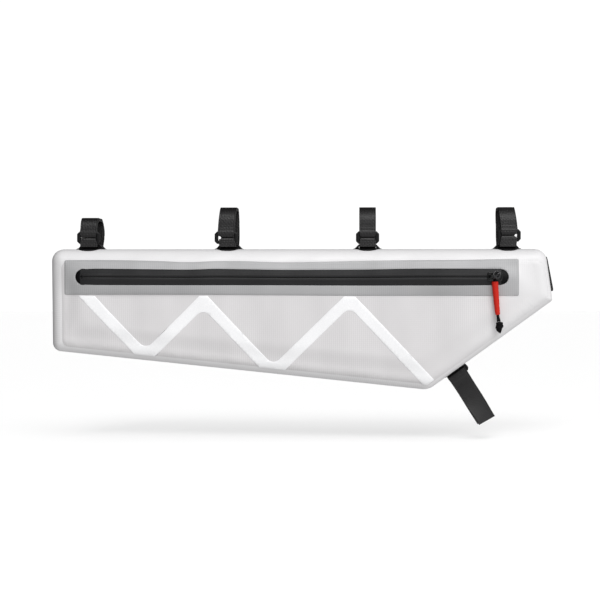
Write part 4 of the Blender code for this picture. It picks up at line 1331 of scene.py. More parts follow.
@dataclass
class Slider:
    """The zip's slider with its bail."""

    form: BagForm
    zip_nose: float
    length: float = 14.2 * MM
    height: float = 9.3 * MM
    plate: float = 1.7 * MM
    from_nose: float = 13.0 * MM
    lift: float = 1.4 * MM
    bail_span: float = 11 * MM
    bail_rise: float = 5.0 * MM
    bail_width: float = 3.2 * MM
    bail_bar: float = 1.4 * MM

    def __post_init__(self) -> None:
        """Works out where the slider sits."""
        self.x = self.zip_nose - self.from_nose
        spot = np.array([[self.x, self.form.zip_middle]])
        self.front = float(self.form.skin(spot, Side.FRONT)[0]) + self.lift

    def body_outline(self, grow: float) -> list[tuple[float, float]]:
        """The body's outline, a little waisted towards the heel.

        Args:
            grow: how much larger than the plate.

        Returns:
            Points (x, z) about the slider's middle.
        """
        points = pill(
            -self.length / 2 - grow, self.length / 2 + grow, -self.height / 2 - grow,
            self.height / 2 + grow, self.height * 0.24, 6,
        )  # fmt: skip
        return [(x, z * (1 - 0.1 * max(0.0, -x / self.length))) for x, z in points]

    def build_body(self) -> Piece:
        """The plate with its raised rim."""
        rings = []
        # Growth of the outline and height over the plate's underside, in millimetres
        profile = (
            (0.0, -2.4), (0.0, 0.9), (-0.15, 1.45), (-0.45, 1.7), (-0.9, 1.7), (-1.15, 1.5), (-1.3, 1.2)
        )
        for grow, rise in profile:
            y = -(self.front + rise * MM)
            outline = self.body_outline(grow * MM)
            rings.append([(self.x + a, y, self.form.zip_middle + b) for a, b in outline])
        return loft("slider_body", rings, sharp=50)

    def build_bail(self) -> Piece:
        """The bail: a flat bar that arches over the plate along the zip."""
        half, rise = self.bail_span / 2, self.plate / 2 + self.bail_rise
        turns = [
            (-half + 0.3 * MM, 0.2 * MM, 0), (-half * 0.78, rise - self.bail_bar / 2, 1.8 * MM),
            (half * 0.78, rise - self.bail_bar / 2, 1.8 * MM), (half - 0.3 * MM, 0.2 * MM, 0),
        ]  # fmt: skip
        path = rounded_path(turns, 8)
        base = self.front + self.plate / 2
        rings = []
        for i, point in enumerate(path):
            ahead = path[min(i + 1, len(path) - 1)] - path[max(i - 1, 0)]
            way = Vector((-ahead.y, ahead.x)).normalized()
            ring = []
            for k in range(12):
                angle = 2 * math.pi * k / 12
                side = math.copysign(abs(math.cos(angle)) ** 0.6, math.cos(angle)) * self.bail_width / 2
                up = math.copysign(abs(math.sin(angle)) ** 0.7, math.sin(angle)) * self.bail_bar / 2
                a, n = point.x + way.x * up, point.y + way.y * up
                ring.append((self.x + a, -(base + n), self.form.zip_middle + side))
            rings.append(ring)
        return loft("slider_bail", rings, sharp=50)

    def build(self) -> None:
        """Builds and dresses the slider."""
        dress(join("slider", [self.build_body(), self.build_bail()]), PAINT, ["zip_slider"])


@dataclass
class Pull:
    """The pull on the slider: a cord from the bail, a red sleeve over it and the knot at its end."""

    # The cord's route, from under the slider's bail down to the knot
    route: tuple[Triple, ...] = (
        (186.4 * MM, -37.7 * MM, -45.0 * MM), (186.4 * MM, -37.75 * MM, -49.0 * MM),
        (186.7 * MM, -38.0 * MM, -56.0 * MM), (187.7 * MM, -37.8 * MM, -68.0 * MM),
        (188.8 * MM, -37.3 * MM, -80.0 * MM), (190.1 * MM, -37.0 * MM, -89.2 * MM),
    )  # fmt: skip
    diameter: float = 2.8 * MM
    sleeve_start: float = 6.6 * MM
    sleeve_length: float = 31.2 * MM
    sleeve_top: float = 6.2 * MM
    sleeve_end: float = 4.7 * MM
    neck: float = 0.35 * MM
    knot_length: float = 10.9 * MM
    knot_width: float = 7.6 * MM
    knot_depth: float = 4.6 * MM

    def line(self, start: float, length: float, step: float) -> Array:
        """Points of the cord's curve, at even steps.

        Args:
            start: distance along the cord of the first point.
            length: how far the points go.
            step: about how far apart they are.

        Returns:
            The points.
        """
        route = [np.array(p) for p in self.route]
        ends = [2 * route[0] - route[1]] + route + [2 * route[-1] - route[-2]]
        fine = []
        for a, b, c, d in zip(ends, ends[1:], ends[2:], ends[3:]):
            for t in np.arange(20) / 20:
                bend = (2 * a - 5 * b + 4 * c - d) * t**2 + (3 * b - a - 3 * c + d) * t**3
                fine.append((2 * b + (c - a) * t + bend) / 2)
        fine = np.array(fine + [route[-1]])
        lengths = np.concatenate([[0], np.cumsum(np.linalg.norm(np.diff(fine, axis=0), axis=1))])
        length = min(length, lengths[-1] - start)
        at = np.linspace(start, start + length, max(2, round(length / step)) + 1)
        return np.stack([np.interp(at, lengths, fine[:, axis]) for axis in range(3)], axis=1)

    def rings(self, points: Array, wide: Array, deep: Array, count: int) -> Array:
        """Rings of points about a line.

        Args:
            points: the line.
            wide: half width of each ring, across the bag's front.
            deep: half depth of each ring.
            count: points of each ring.

        Returns:
            The rings.
        """
        ways = unit(np.gradient(points, axis=0))
        sides = unit(np.cross([0, 1, 0], ways))
        outs = unit(np.cross(ways, sides))
        angles = 2 * np.pi * np.arange(count) / count
        across = sides[:, None, :] * np.cos(angles)[None, :, None] * np.asarray(wide)[:, None, None]
        out = outs[:, None, :] * np.sin(angles)[None, :, None] * np.asarray(deep)[:, None, None]
        return points[:, None, :] + across + out

    def build_cord(self) -> tuple[Piece, Array]:
        """The cord, and the points that it follows."""
        points = self.line(0, 1.0, 0.8 * MM)
        near = np.linalg.norm(points - points[-1], axis=1)
        radius = self.diameter / 2 + self.neck * (1 - ease(1 * MM, 5 * MM, near))
        return loft("cord", list(self.rings(points, radius, radius, 16)), sharp=60), points

    def build_sleeve(self) -> Piece:
        """The sleeve: a tube with rounded mouths, a little creased where it bends."""
        points = self.line(self.sleeve_start, self.sleeve_length, 0.8 * MM)
        t = np.linspace(0, 1, len(points))
        radius = (self.sleeve_top * (1 - t) + self.sleeve_end * t) / 2
        radius = radius * (1 + 0.02 * np.sin(t * 23) + 0.012 * np.sin(t * 57 + 1))
        lip = np.minimum(t, 1 - t) * self.sleeve_length
        radius = radius - 0.35 * MM * (1 - ease(0, 0.9 * MM, lip))
        outer = self.rings(points, radius, radius * 0.96, 24)
        bore = np.full(len(points), self.diameter / 2 + 0.15 * MM)
        inner = self.rings(points, bore, bore, 24)
        return loft("sleeve", list(outer) + list(inner[::-1]), closed=True, sharp=60)

    def build_knot(self) -> Piece:
        """The end knot: two turns of cord drawn tight over a leaf-shaped tip."""
        line = self.line(0, 1.0, 0.5 * MM)
        way = unit(line[-1] - line[-3])
        t = np.linspace(0, 1, 40)
        points = line[-1] + way * (GAP + t * self.knot_length)[:, None]
        # Share of the length, shares of the width to the left and right, share of the depth
        shape = (
            (0.0, 0.5, 0.42, 0.6), (0.06, 0.66, 0.82, 0.85), (0.2, 0.8, 1.0, 1.0),
            (0.36, 0.92, 0.98, 1.0), (0.5, 0.98, 0.84, 0.95), (0.68, 0.88, 0.52, 0.75),
            (0.86, 0.5, 0.26, 0.4), (0.96, 0.18, 0.08, 0.15), (1.0, 0.06, 0.02, 0.06),
        )  # fmt: skip
        shares, lefts, rights, depths = zip(*shape)
        angles = 2 * np.pi * np.arange(36) / 36
        half = self.knot_width / 2
        left, right = flow(shares, lefts, t) * half, flow(shares, rights, t) * half
        deep = flow(shares, depths, t) * self.knot_depth / 2
        rings = self.rings(points, np.ones(len(t)), np.ones(len(t)), 36)
        spokes = rings - points[:, None, :]
        sides = unit(np.cross([0, 1, 0], way))
        across = np.einsum("ijk,k->ij", spokes, sides)[:, :, None]
        wide = np.where(across[:, :, 0] * sides[0] > 0, right[:, None], left[:, None])[:, :, None]
        out = spokes - across * sides
        spokes = across * sides * wide + out * deep[:, None, None]
        wraps = np.sin(2 * np.pi * 2.6 * t[:, None] + 1.6 * np.sin(angles)[None, :] + 0.8)
        groove = 1 + 0.07 * wraps * (1 - ease(0.5, 0.9, t))[:, None]
        rings = points[:, None, :] + spokes * groove[:, :, None]
        return loft("end_knot", list(rings), sharp=70)

    def build_hitch(self, slider: Slider) -> Piece:
        """The cord's hitch: a turn round the bail, drawn tight into a diamond, and a strand across it.

        Args:
            slider: the slider that it is tied to.

        Returns:
            The piece.
        """
        top = -(slider.front + slider.plate + slider.bail_rise)
        x, z = slider.x + 1.2 * MM, self.route[0][2]
        knots = np.array(
            [
                (x - 3.1 * MM, top - 0.9 * MM, z - 0.2 * MM),
                (x - 0.3 * MM, top + 0.6 * MM, z + 3.2 * MM),
                (x + 3.1 * MM, top - 0.9 * MM, z + 0.2 * MM),
                (x + 0.5 * MM, top - 0.6 * MM, z - 3.4 * MM),
            ]
        )
        around = np.linspace(0, 4, 48, endpoint=False)
        wrapped = np.concatenate([knots[-1:], knots, knots[:2]])
        loop = np.stack([flow(np.arange(-1, 6), wrapped[:, a], around) for a in range(3)], axis=1)
        cross = np.array(
            [
                (x - 3.0 * MM, top + 2.4 * MM, z - 3.4 * MM),
                (x - 2.0 * MM, top - 0.4 * MM, z - 2.6 * MM),
                (x + 1.2 * MM, top - 1.3 * MM, z + 0.6 * MM),
                (x + 2.4 * MM, top + 0.8 * MM, z + 2.6 * MM),
                (x + 2.6 * MM, top + 3.0 * MM, z + 3.0 * MM),
            ]
        )
        bar = np.stack([flow(np.arange(5), cross[:, a], np.linspace(0, 4, 30)) for a in range(3)], axis=1)
        thick = self.diameter * 0.34
        tubes = []
        for path, ends_meet in ((loop, True), (bar, False)):
            beyond = np.concatenate([path[-1:], path, path[:1]]) if ends_meet else path
            ways = unit(np.gradient(beyond, axis=0))
            ways = ways[1:-1] if ends_meet else ways
            sides = unit(np.cross(ways, [0.05, 1.0, 0.03]))
            outs = np.cross(ways, sides)
            angles = 2 * np.pi * np.arange(12) / 12
            ring = sides[:, None, :] * np.cos(angles)[None, :, None]
            ring = ring + outs[:, None, :] * np.sin(angles)[None, :, None]
            name = f"strand_{len(tubes)}"
            tubes.append(loft(name, list(path[:, None, :] + ring * thick), closed=ends_meet, sharp=60))
        return join("hitch", tubes)

    def build(self, slider: Slider) -> None:
        """Builds the pull and dresses it.

        Args:
            slider: the slider that it hangs from.
        """
        cord, points = self.build_cord()
        dress(cord, CORD, ["pull_cord"])
        sleeve = dress(self.build_sleeve(), SLEEVE, ["pull_sleeve"])
        knot = dress(self.build_knot(), CORD, ["pull_knot"])
        # The hitch's cord is painted lighter than the rest of the cord, as a painted highlight
        hitch = dress(self.build_hitch(slider), CORD_HIGHLIGHT)
        length = float(np.linalg.norm(np.diff(points, axis=0), axis=1).sum())
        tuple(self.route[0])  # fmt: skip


@dataclass
class ZigzagStripe:
    """The reflective zigzag on the front, trimmed along the panel and the lower edges."""

    form: BagForm
    width: float = 11 * MM
    lift: float = 0.5 * MM
    thickness: float = 0.3 * MM
    inset: float = 4.9 * MM
    below_panel: float = 0.8 * MM
    corner: float = 8 * MM
    # Share of the top's length from the heel, share of the way from the panel to the bottom edge
    turns: tuple[tuple[float, float], ...] = (
        (0.0581, -0.147), (0.1942, 0.953), (0.3119, 0.07), (0.4514, 0.992), (0.6056, 0.04),
        (0.7992, 1.09),
    )  # fmt: skip

    def build(self) -> None:
        """Builds and dresses the stripe."""
        form = self.form
        corner = form.corners[Outline.BOTTOM.value]
        along = form.along[Outline.BOTTOM.value]
        line = []
        for share, drop in self.turns:
            x = form.heel_x + share * form.top_length
            bottom = corner[1] + along[1] * (x - corner[0]) / along[0]
            line.append(Vector((x, form.panel_bottom + (bottom - form.panel_bottom) * drop)))
        sides = []
        for sign, odd in ((1, 0), (-1, 1)):
            moved = offset_line(line, sign * self.width / 2)
            radii = [self.corner * ((i + odd) % 2) for i in range(len(line))]
            radii[0] = radii[-1] = 0.0
            sides.append(rounded_path([(p.x, p.y, r) for p, r in zip(moved, radii)], 8))
        outline = sides[0] + sides[1][::-1]
        outline = trimmed(outline, Vector((0, form.panel_bottom - self.below_panel)), Vector((0, 1)))
        for edge in (Outline.BOTTOM, Outline.OBLIQUE):
            inward = form.inward[edge.value]
            spot = form.corners[edge.value] + inward * self.inset
            outline = trimmed(outline, Vector(spot), Vector(-inward))
        sheet = Sheet(
            "reflective_zigzag", (closed(outline),), self.lift, self.lift + self.thickness,
            rim=0.3 * MM, drop=0.2 * MM,
        )  # fmt: skip
        dress(sheet.build(form), FILM, ["zigzag_stripe"])


# Straps and their hardware


@dataclass
class Webbing:
    """A length of webbing: how wide and thick it is, and how its selvedges are."""

    width: float = 16 * MM
    thickness: float = 1.3 * MM
    # Across a half: share of the half width, share of the half thickness
    section: tuple[tuple[float, float], ...] = (
        (0.0, 0.97), (0.45, 0.97), (0.56, 0.97), (0.64, 0.97), (0.71, 0.96), (0.78, 0.95),
        (0.84, 0.84), (0.89, 0.98), (0.94, 1.0), (0.975, 0.86), (0.995, 0.5),
    )  # fmt: skip

    def profile(self) -> Array:
        """Points (across, lift) round the webbing's section."""
        upper = list(self.section)
        right = upper + [(u, -h) for u, h in reversed(upper)]
        left = [(-u, -h) for u, h in upper[1:]] + [(-u, h) for u, h in reversed(upper[1:])]
        points = np.array(right + left)
        return points * np.array([self.width / 2, self.thickness / 2])

    def build(self, name: str, path: Sequence[Vector], place: Place) -> Piece:
        """Runs the webbing along a path.

        Args:
            name: the piece's name.
            path: points of its middle, in the strap's side plane.
            place: turns across, first and second coordinate into a point.

        Returns:
            The piece.
        """
        profile = self.profile()
        count = len(path)
        rings = []
        for i, point in enumerate(path):
            ahead = path[min(i + 1, count - 1)] - path[max(i - 1, 0)]
            way = Vector((-ahead.y, ahead.x)).normalized()
            ring = []
            for across, lift in profile:
                a, b = point.x + way.x * lift, point.y + way.y * lift
                ring.append(place(across, a, b))
            rings.append(ring)
        return self.lay_threads(loft(name, rings, sharp=50), path, len(profile))

    def lay_threads(self, strap: Piece, path: Sequence[Vector], around: int) -> Piece:
        """Gives the strap its places on the cloth: across it, and along its path.

        Args:
            strap: the piece.
            path: points of its middle.
            around: points of each of its rings.

        Returns:
            The same piece.
        """
        runs = [0.0]
        for a, b in zip(path, path[1:]):
            runs.append(runs[-1] + (b - a).length)
        across = self.profile()[:, 0]
        corners = corner_points(strap.data)
        uvs = np.stack([across[corners % around], np.array(runs)[corners // around]], axis=1)
        lay_cloth(strap.data, uvs)
        return strap


class LoopKind(Enum):
    """Top strap loops, by their top, their shoulders' radius and where the tail ends on the back."""

    LONG = (20.6 * MM, 12.5 * MM, 6 * MM)
    SHORT = (10.4 * MM, 12 * MM, -6 * MM)


@dataclass
class TopStrap:
    """One hanging point: anchor on the bag, webbing loop for the top tube, and ring buckle."""

    form: BagForm
    number: int
    x: float
    lean: float
    kind: LoopKind
    # Radius and place across of the eye that the strap leaves open in the slot
    eye: float = 0.0
    eye_at: float = 0.0
    back_lean: float = 0.5 * MM
    buckle_drop: float = 9.2 * MM
    top_lean: float = 0.0
    gathered: float = 0.1
    webbing: Webbing = field(default_factory=Webbing)
    loop_half_depth: float = 16 * MM
    foot_radius: float = 4 * MM
    turn_radius: float = 1.15 * MM
    buckle_width: float = 22.2 * MM
    buckle_height: float = 12.0 * MM
    buckle_thickness: float = 2.2 * MM
    buckle_bar: float = 2.8 * MM
    chamfer: float = 2.4 * MM
    slot_play: float = -0.6 * MM
    least_opening: float = 0.02 * MM
    patch_thickness: float = 0.8 * MM

    def __post_init__(self) -> None:
        """Works out the strap's levels."""
        thick = self.webbing.thickness
        self.floor = 2 * GAP + self.patch_thickness
        self.run = self.form.top + self.floor + thick / 2
        self.buckle_back = self.loop_half_depth + thick / 2 + GAP
        self.strap_front = self.buckle_back + self.buckle_thickness + GAP + thick / 2
        self.slot_height = self.buckle_height - 2 * self.buckle_bar

    def turns(self) -> list[Triple]:
        """Turns (y, z, radius) of the strap, from its sewn end to the end of its tail."""
        loop_top, shoulder, tail_end = self.kind.value
        thick = self.webbing.thickness
        layer = thick + GAP
        inner, outer = self.loop_half_depth, self.loop_half_depth + layer
        outer_top = loop_top - thick / 2
        inner_top = outer_top - layer
        passing = self.slot_height / 2 - GAP - thick / 2
        upper, lower = -self.buckle_drop + passing, -self.buckle_drop - passing
        over = -self.buckle_drop + self.buckle_height / 2
        tight = self.turn_radius
        return [
            (-self.strap_front, self.run, 0), (-self.strap_front, lower, tight),
            (-inner, lower, tight), (-inner, self.run, self.foot_radius),
            (inner, self.run, self.foot_radius), (inner, inner_top, 0.5 * shoulder),
            (-inner, inner_top, shoulder), (-inner, upper, tight),
            (-self.strap_front, upper, tight), (-self.strap_front, over, 2 * layer),
            (-outer, over + 2 * layer, 2 * layer), (-outer, outer_top, shoulder + layer),
            (outer, outer_top, 0.5 * shoulder + layer), (outer, tail_end, 0),
        ]  # fmt: skip

    def build_strap(self) -> Piece:
        """The webbing loop."""
        path = rounded_path(self.turns(), 7, 2.5 * MM)
        rise = -self.buckle_drop - self.run
        thick = self.webbing.thickness
        passing = self.slot_height / 2 - GAP - thick / 2

        def place(across: float, y: float, z: float) -> Triple:
            """A point of the strap, which leans along the bag in front."""
            up = min(1.0, max(0.0, (z - self.run) / rise))
            forward = min(1.0, max(0.0, (self.loop_half_depth - y) / self.loop_half_depth))
            backward = min(1.0, max(0.0, y / self.loop_half_depth))
            aloft = float(ease(-self.buckle_drop + self.buckle_height / 2, self.kind.value[0], z))
            lean = self.lean * forward * (1 - 0.85 * aloft) + self.back_lean * backward * (1 - aloft)
            in_slot = 1 - min(1.0, abs(z + self.buckle_drop) / (0.62 * self.slot_height))
            at_buckle = min(1.0, max(0.0, (-self.loop_half_depth + 3 * MM - y) / (2 * MM)))
            near = at_buckle * min(1.0, 2.2 * in_slot)
            across = across * (1 - self.gathered * near)
            opening = math.sqrt(max(0.0, self.eye**2 - (across - self.eye_at) ** 2))
            shift = (passing - thick / 2 - max(opening, self.least_opening)) * near
            z -= math.copysign(shift, z + self.buckle_drop)
            return (self.x + across + lean * up + self.top_lean * aloft, y, z)

        return self.webbing.build(f"loop_{self.number}", path, place)

    def build_buckle(self) -> Piece:
        """The ring buckle: rounded bars and cheeks round one slot."""
        half, tall, cut = self.buckle_width / 2, self.buckle_height / 2, self.chamfer
        plate = [
            (half, 0, 0), (half, tall - cut, 1), (half - cut, tall, 1), (cut - half, tall, 1),
            (-half, tall - cut, 1), (-half, cut - tall, 1), (cut - half, -tall, 1),
            (half - cut, -tall, 1), (half, cut - tall, 1), (half, 0, 0),
        ]  # fmt: skip
        outer = rounded_path([(a, b, 0.9 * MM * c) for a, b, c in plate], 12, 1.0 * MM)[:-1]
        slot_half, slot_tall = self.webbing.width / 2 + self.slot_play, self.slot_height / 2
        inner = []
        for point in outer:
            scale = max(abs(point.x) / slot_half, abs(point.y) / slot_tall)
            inner.append(point / scale)
        x = self.x + self.lean
        thick = self.buckle_thickness
        rings = []
        for k in range(16):
            angle = 2 * math.pi * k / 16
            share = 0.5 + 0.5 * math.copysign(abs(math.cos(angle)) ** 0.55, math.cos(angle))
            out = 0.5 * math.copysign(abs(math.sin(angle)) ** 0.55, math.sin(angle))
            y = -(self.buckle_back + thick / 2) - out * thick
            rings.append(
                [
                    (x + a.x + (b.x - a.x) * share, y, -self.buckle_drop + a.y + (b.y - a.y) * share)
                    for a, b in zip(inner, outer)
                ]
            )
        return loft(f"ring_buckle_{self.number}", rings, closed=True, sharp=45)

    def build(self) -> None:
        """Builds and dresses the anchor, the loop and the buckle."""

        def place(across: float, y: float, n: float) -> Triple:
            """A point over the bag's top."""
            return (self.x + across, y, self.form.top + n)

        anchor = Anchor(self.form, f"anchor_{self.number}", place, rise=0.7 * MM)
        dress(anchor.build(), NYLON, [f"strap_anchor_{self.number}"])
        dress(self.build_strap(), WEBBING, [f"top_strap_{self.number}"])
        dress(self.build_buckle(), NYLON, [f"top_buckle_{self.number}"])


@dataclass
class Anchor:
    """An oval patch, draped over the side strip, with a moulded bridge that a strap runs under."""

    form: BagForm
    name: str
    place: Place
    half_width: float = 14 * MM
    half_length: float = 24.4 * MM
    power: float = 2.6
    thickness: float = 0.8 * MM
    strap_width: float = 16 * MM
    strap_thickness: float = 1.3 * MM
    bridge_half_length: float = 9 * MM
    bridge_thickness: float = 1.2 * MM
    slopes: tuple[float, float] = (4.2 * MM, 4.2 * MM)
    # How far the left and the right wing stand out just under the bridge's top
    flares: tuple[float, float] = (1.7 * MM, 1.7 * MM)
    rise: float = 0.0

    def over_side(self, s: float, lift: float) -> tuple[float, float]:
        """Place across the bag and height over its flat side, at a distance round the section.

        Args:
            s: distance round the section from the bag's middle plane.
            lift: over the skin.

        Returns:
            The place across, and the height.
        """
        past = abs(s) - self.form.side_flat
        if past <= 0:
            return s, lift
        angle = past / self.form.edge_radius
        reach = self.form.edge_radius + lift
        y = self.form.side_flat + reach * math.sin(angle)
        return math.copysign(y, s), reach * math.cos(angle) - self.form.edge_radius

    def build_patch(self) -> Piece:
        """The patch, thinner towards its rim."""
        around = 72
        rings = []
        # Share of the oval, lift in shares of the thickness
        rows = (
            (0.02, 0.1), (0.5, 0.1), (0.8, 0.1), (0.97, 0.1), (1.0, 0.22), (0.995, 0.55),
            (0.965, 0.82), (0.9, 0.96), (0.75, 1.0), (0.5, 1.0), (0.25, 1.0), (0.02, 1.0),
        )  # fmt: skip
        for share, lift in rows:
            ring = []
            for k in range(around):
                angle = 2 * math.pi * k / around
                c, s = math.cos(angle), math.sin(angle)
                u = self.half_width * math.copysign(abs(c) ** (2 / self.power), c) * share
                t = self.half_length * math.copysign(abs(s) ** (2 / self.power), s) * share
                y, n = self.over_side(t, GAP / 2 + lift * self.thickness)
                ring.append(self.place(u, y, n))
            rings.append(ring)
        return loft(f"{self.name}_patch", rings, sharp=60)

    def build_bridge(self) -> Piece:
        """The bridge: a flat top on two solid wings that run down to the patch."""
        foot = GAP + self.thickness / 2
        under = 2 * GAP + self.thickness + self.strap_thickness + GAP + self.rise
        top = under + self.bridge_thickness
        inside = self.strap_width / 2 + GAP
        left, right = (inside + slope for slope in self.slopes)
        shape = [
            (-inside, foot, 0), (-inside, under, 0.5 * MM), (inside, under, 0.5 * MM),
            (inside, foot, 0), (right, foot, 0), (right - 0.2 * MM, foot + 0.5 * MM, 0.3 * MM),
            (inside + self.flares[1], top - 0.35 * (top - foot), 2 * MM),
            (inside + 0.22 * self.flares[1], top, 0.8 * MM),
            (-inside - 0.22 * self.flares[0], top, 0.8 * MM),
            (-inside - self.flares[0], top - 0.35 * (top - foot), 2 * MM),
            (0.2 * MM - left, foot + 0.5 * MM, 0.3 * MM), (-left, foot, 0),
        ]  # fmt: skip
        section = rounded_path(shape, 15, 3 * MM)
        middle = Vector((0, under))
        rings = []
        for k in range(13):
            t = 2 * k / 12 - 1
            y = self.bridge_half_length * t
            narrow = 1 - 0.12 * abs(t) ** 3
            ring = []
            for point in section:
                wing = max(0.0, abs(point.x) - inside)
                low = 1 - 0.25 * abs(t) ** 4 * (1 if point.y > under - 0.01 * MM else 0)
                x = math.copysign(min(abs(point.x), inside) + wing * narrow, point.x)
                ring.append(self.place(x, y, middle.y + (point.y - middle.y) * low))
            rings.append(ring)
        return loft(f"{self.name}_bridge", rings, sharp=45)

    def build(self) -> Piece:
        """The patch and its bridge as one moulded piece."""
        return join(self.name, [self.build_patch(), self.build_bridge()])


@dataclass
class LowerStrap:
    """The strap for the down tube, under its anchor's bridge, with both ends hanging."""

    form: BagForm
    from_belly: float = 31.7 * MM
    webbing: Webbing = field(default_factory=lambda: Webbing(width=19.0 * MM))
    length: float = 58.2 * MM
    rise: float = 3.6 * MM
    layer_offset: float = 1.1 * MM
    drift: float = -3.5 * MM
    slant: float = 0.14
    twist: float = math.radians(24)
    twist_start: float = 25 * MM
    bridge_half_length: float = 9 * MM
    bridge_thickness: float = 1.2 * MM

    def place(self, across: float, y: float, n: float) -> Triple:
        """A point from the oblique edge's own frame: along the edge, across the bag, outwards."""
        along = self.form.along[Outline.OBLIQUE.value]
        inward = self.form.inward[Outline.OBLIQUE.value]
        end = self.form.corners[Outline.BOTTOM.value]
        spot = end - along * (self.from_belly + across) - inward * n
        return (float(spot[0]), y, float(spot[1]))

    def build(self) -> None:
        """Builds and dresses the anchor and the strap."""
        anchor = Anchor(
            self.form, "anchor_lower", self.place, half_width=13 * MM, half_length=19 * MM,
            strap_width=self.webbing.width, rise=self.rise, slopes=(0.3 * MM, 2.4 * MM),
            flares=(0.2 * MM, 2.8 * MM),
        )  # fmt: skip
        dress(anchor.build(), NYLON, ["lower_anchor"])
        thick = self.webbing.thickness
        floor = 2 * GAP + anchor.thickness + thick / 2
        mouth = self.bridge_half_length + thick + GAP
        crown = floor + thick + self.rise + self.bridge_thickness + 2 * GAP
        clear = crown + mouth
        bend = 1.15 * MM
        turns = [
            (-self.layer_offset, self.length, 0), (-self.layer_offset, clear + GAP, mouth),
            (-mouth, crown, bend * 2), (-mouth, floor, bend), (mouth, floor, bend),
            (mouth, crown, bend * 2), (self.layer_offset, clear + GAP, mouth),
            (self.layer_offset, self.length - thick, 0),
        ]  # fmt: skip
        path = rounded_path(turns, 7, 2.5 * MM)

        def place(across: float, y: float, n: float) -> Triple:
            """A point of the strap, which turns a little about its own line."""
            share = min(1.0, max(0.0, (n - self.twist_start) / (self.length - self.twist_start)))
            turn = self.twist * share * share * (3 - 2 * share)
            turned = across * math.cos(turn) - y * math.sin(turn)
            depth = across * math.sin(turn) + y * math.cos(turn)
            far = max(n, 0) / self.length
            return self.place(turned + self.drift * far**1.4, depth, n + self.slant * across * far**3)

        dress(self.webbing.build("strap_lower", path, place), WEBBING, ["lower_strap"])


@dataclass
class EndPatch:
    """The plain ribbed patch on the slanted nose end."""

    form: BagForm
    length: float = 33.5 * MM
    half_width: float = 12 * MM
    thin: float = 1.6 * MM
    thickness: float = 3.2 * MM
    corner: float = 4 * MM
    from_top: float = 24.0 * MM

    def build(self) -> None:
        """Builds and dresses the patch."""
        index = Outline.NOSE.value
        corner, along, inward = (a[index] for a in (self.form.corners, self.form.along, self.form.inward))
        half = self.length / 2
        outline = np.array(pill(-half, half, -self.half_width, self.half_width, self.corner, 8))
        rings = []
        for shrink, lift in ((0, 0.1), (0, 0.75), (0.25, 0.95), (0.7, 1.0), (2.0, 1.0), (2.4, 0.8)):
            size = np.array([half, self.half_width])
            spots = outline * (size - shrink * MM) / size
            centre = corner + along * self.from_top
            low_share = (spots[:, :1] / half + 1) / 2
            thick = self.thin + (self.thickness - self.thin) * low_share
            places = centre + spots[:, :1] * along - inward * lift * thick
            rings.append(np.stack([places[:, 0], spots[:, 1], places[:, 1]], axis=1))
        dress(loft("nose_patch", rings, sharp=50), WEBBING, ["end_patch"])


# Studio


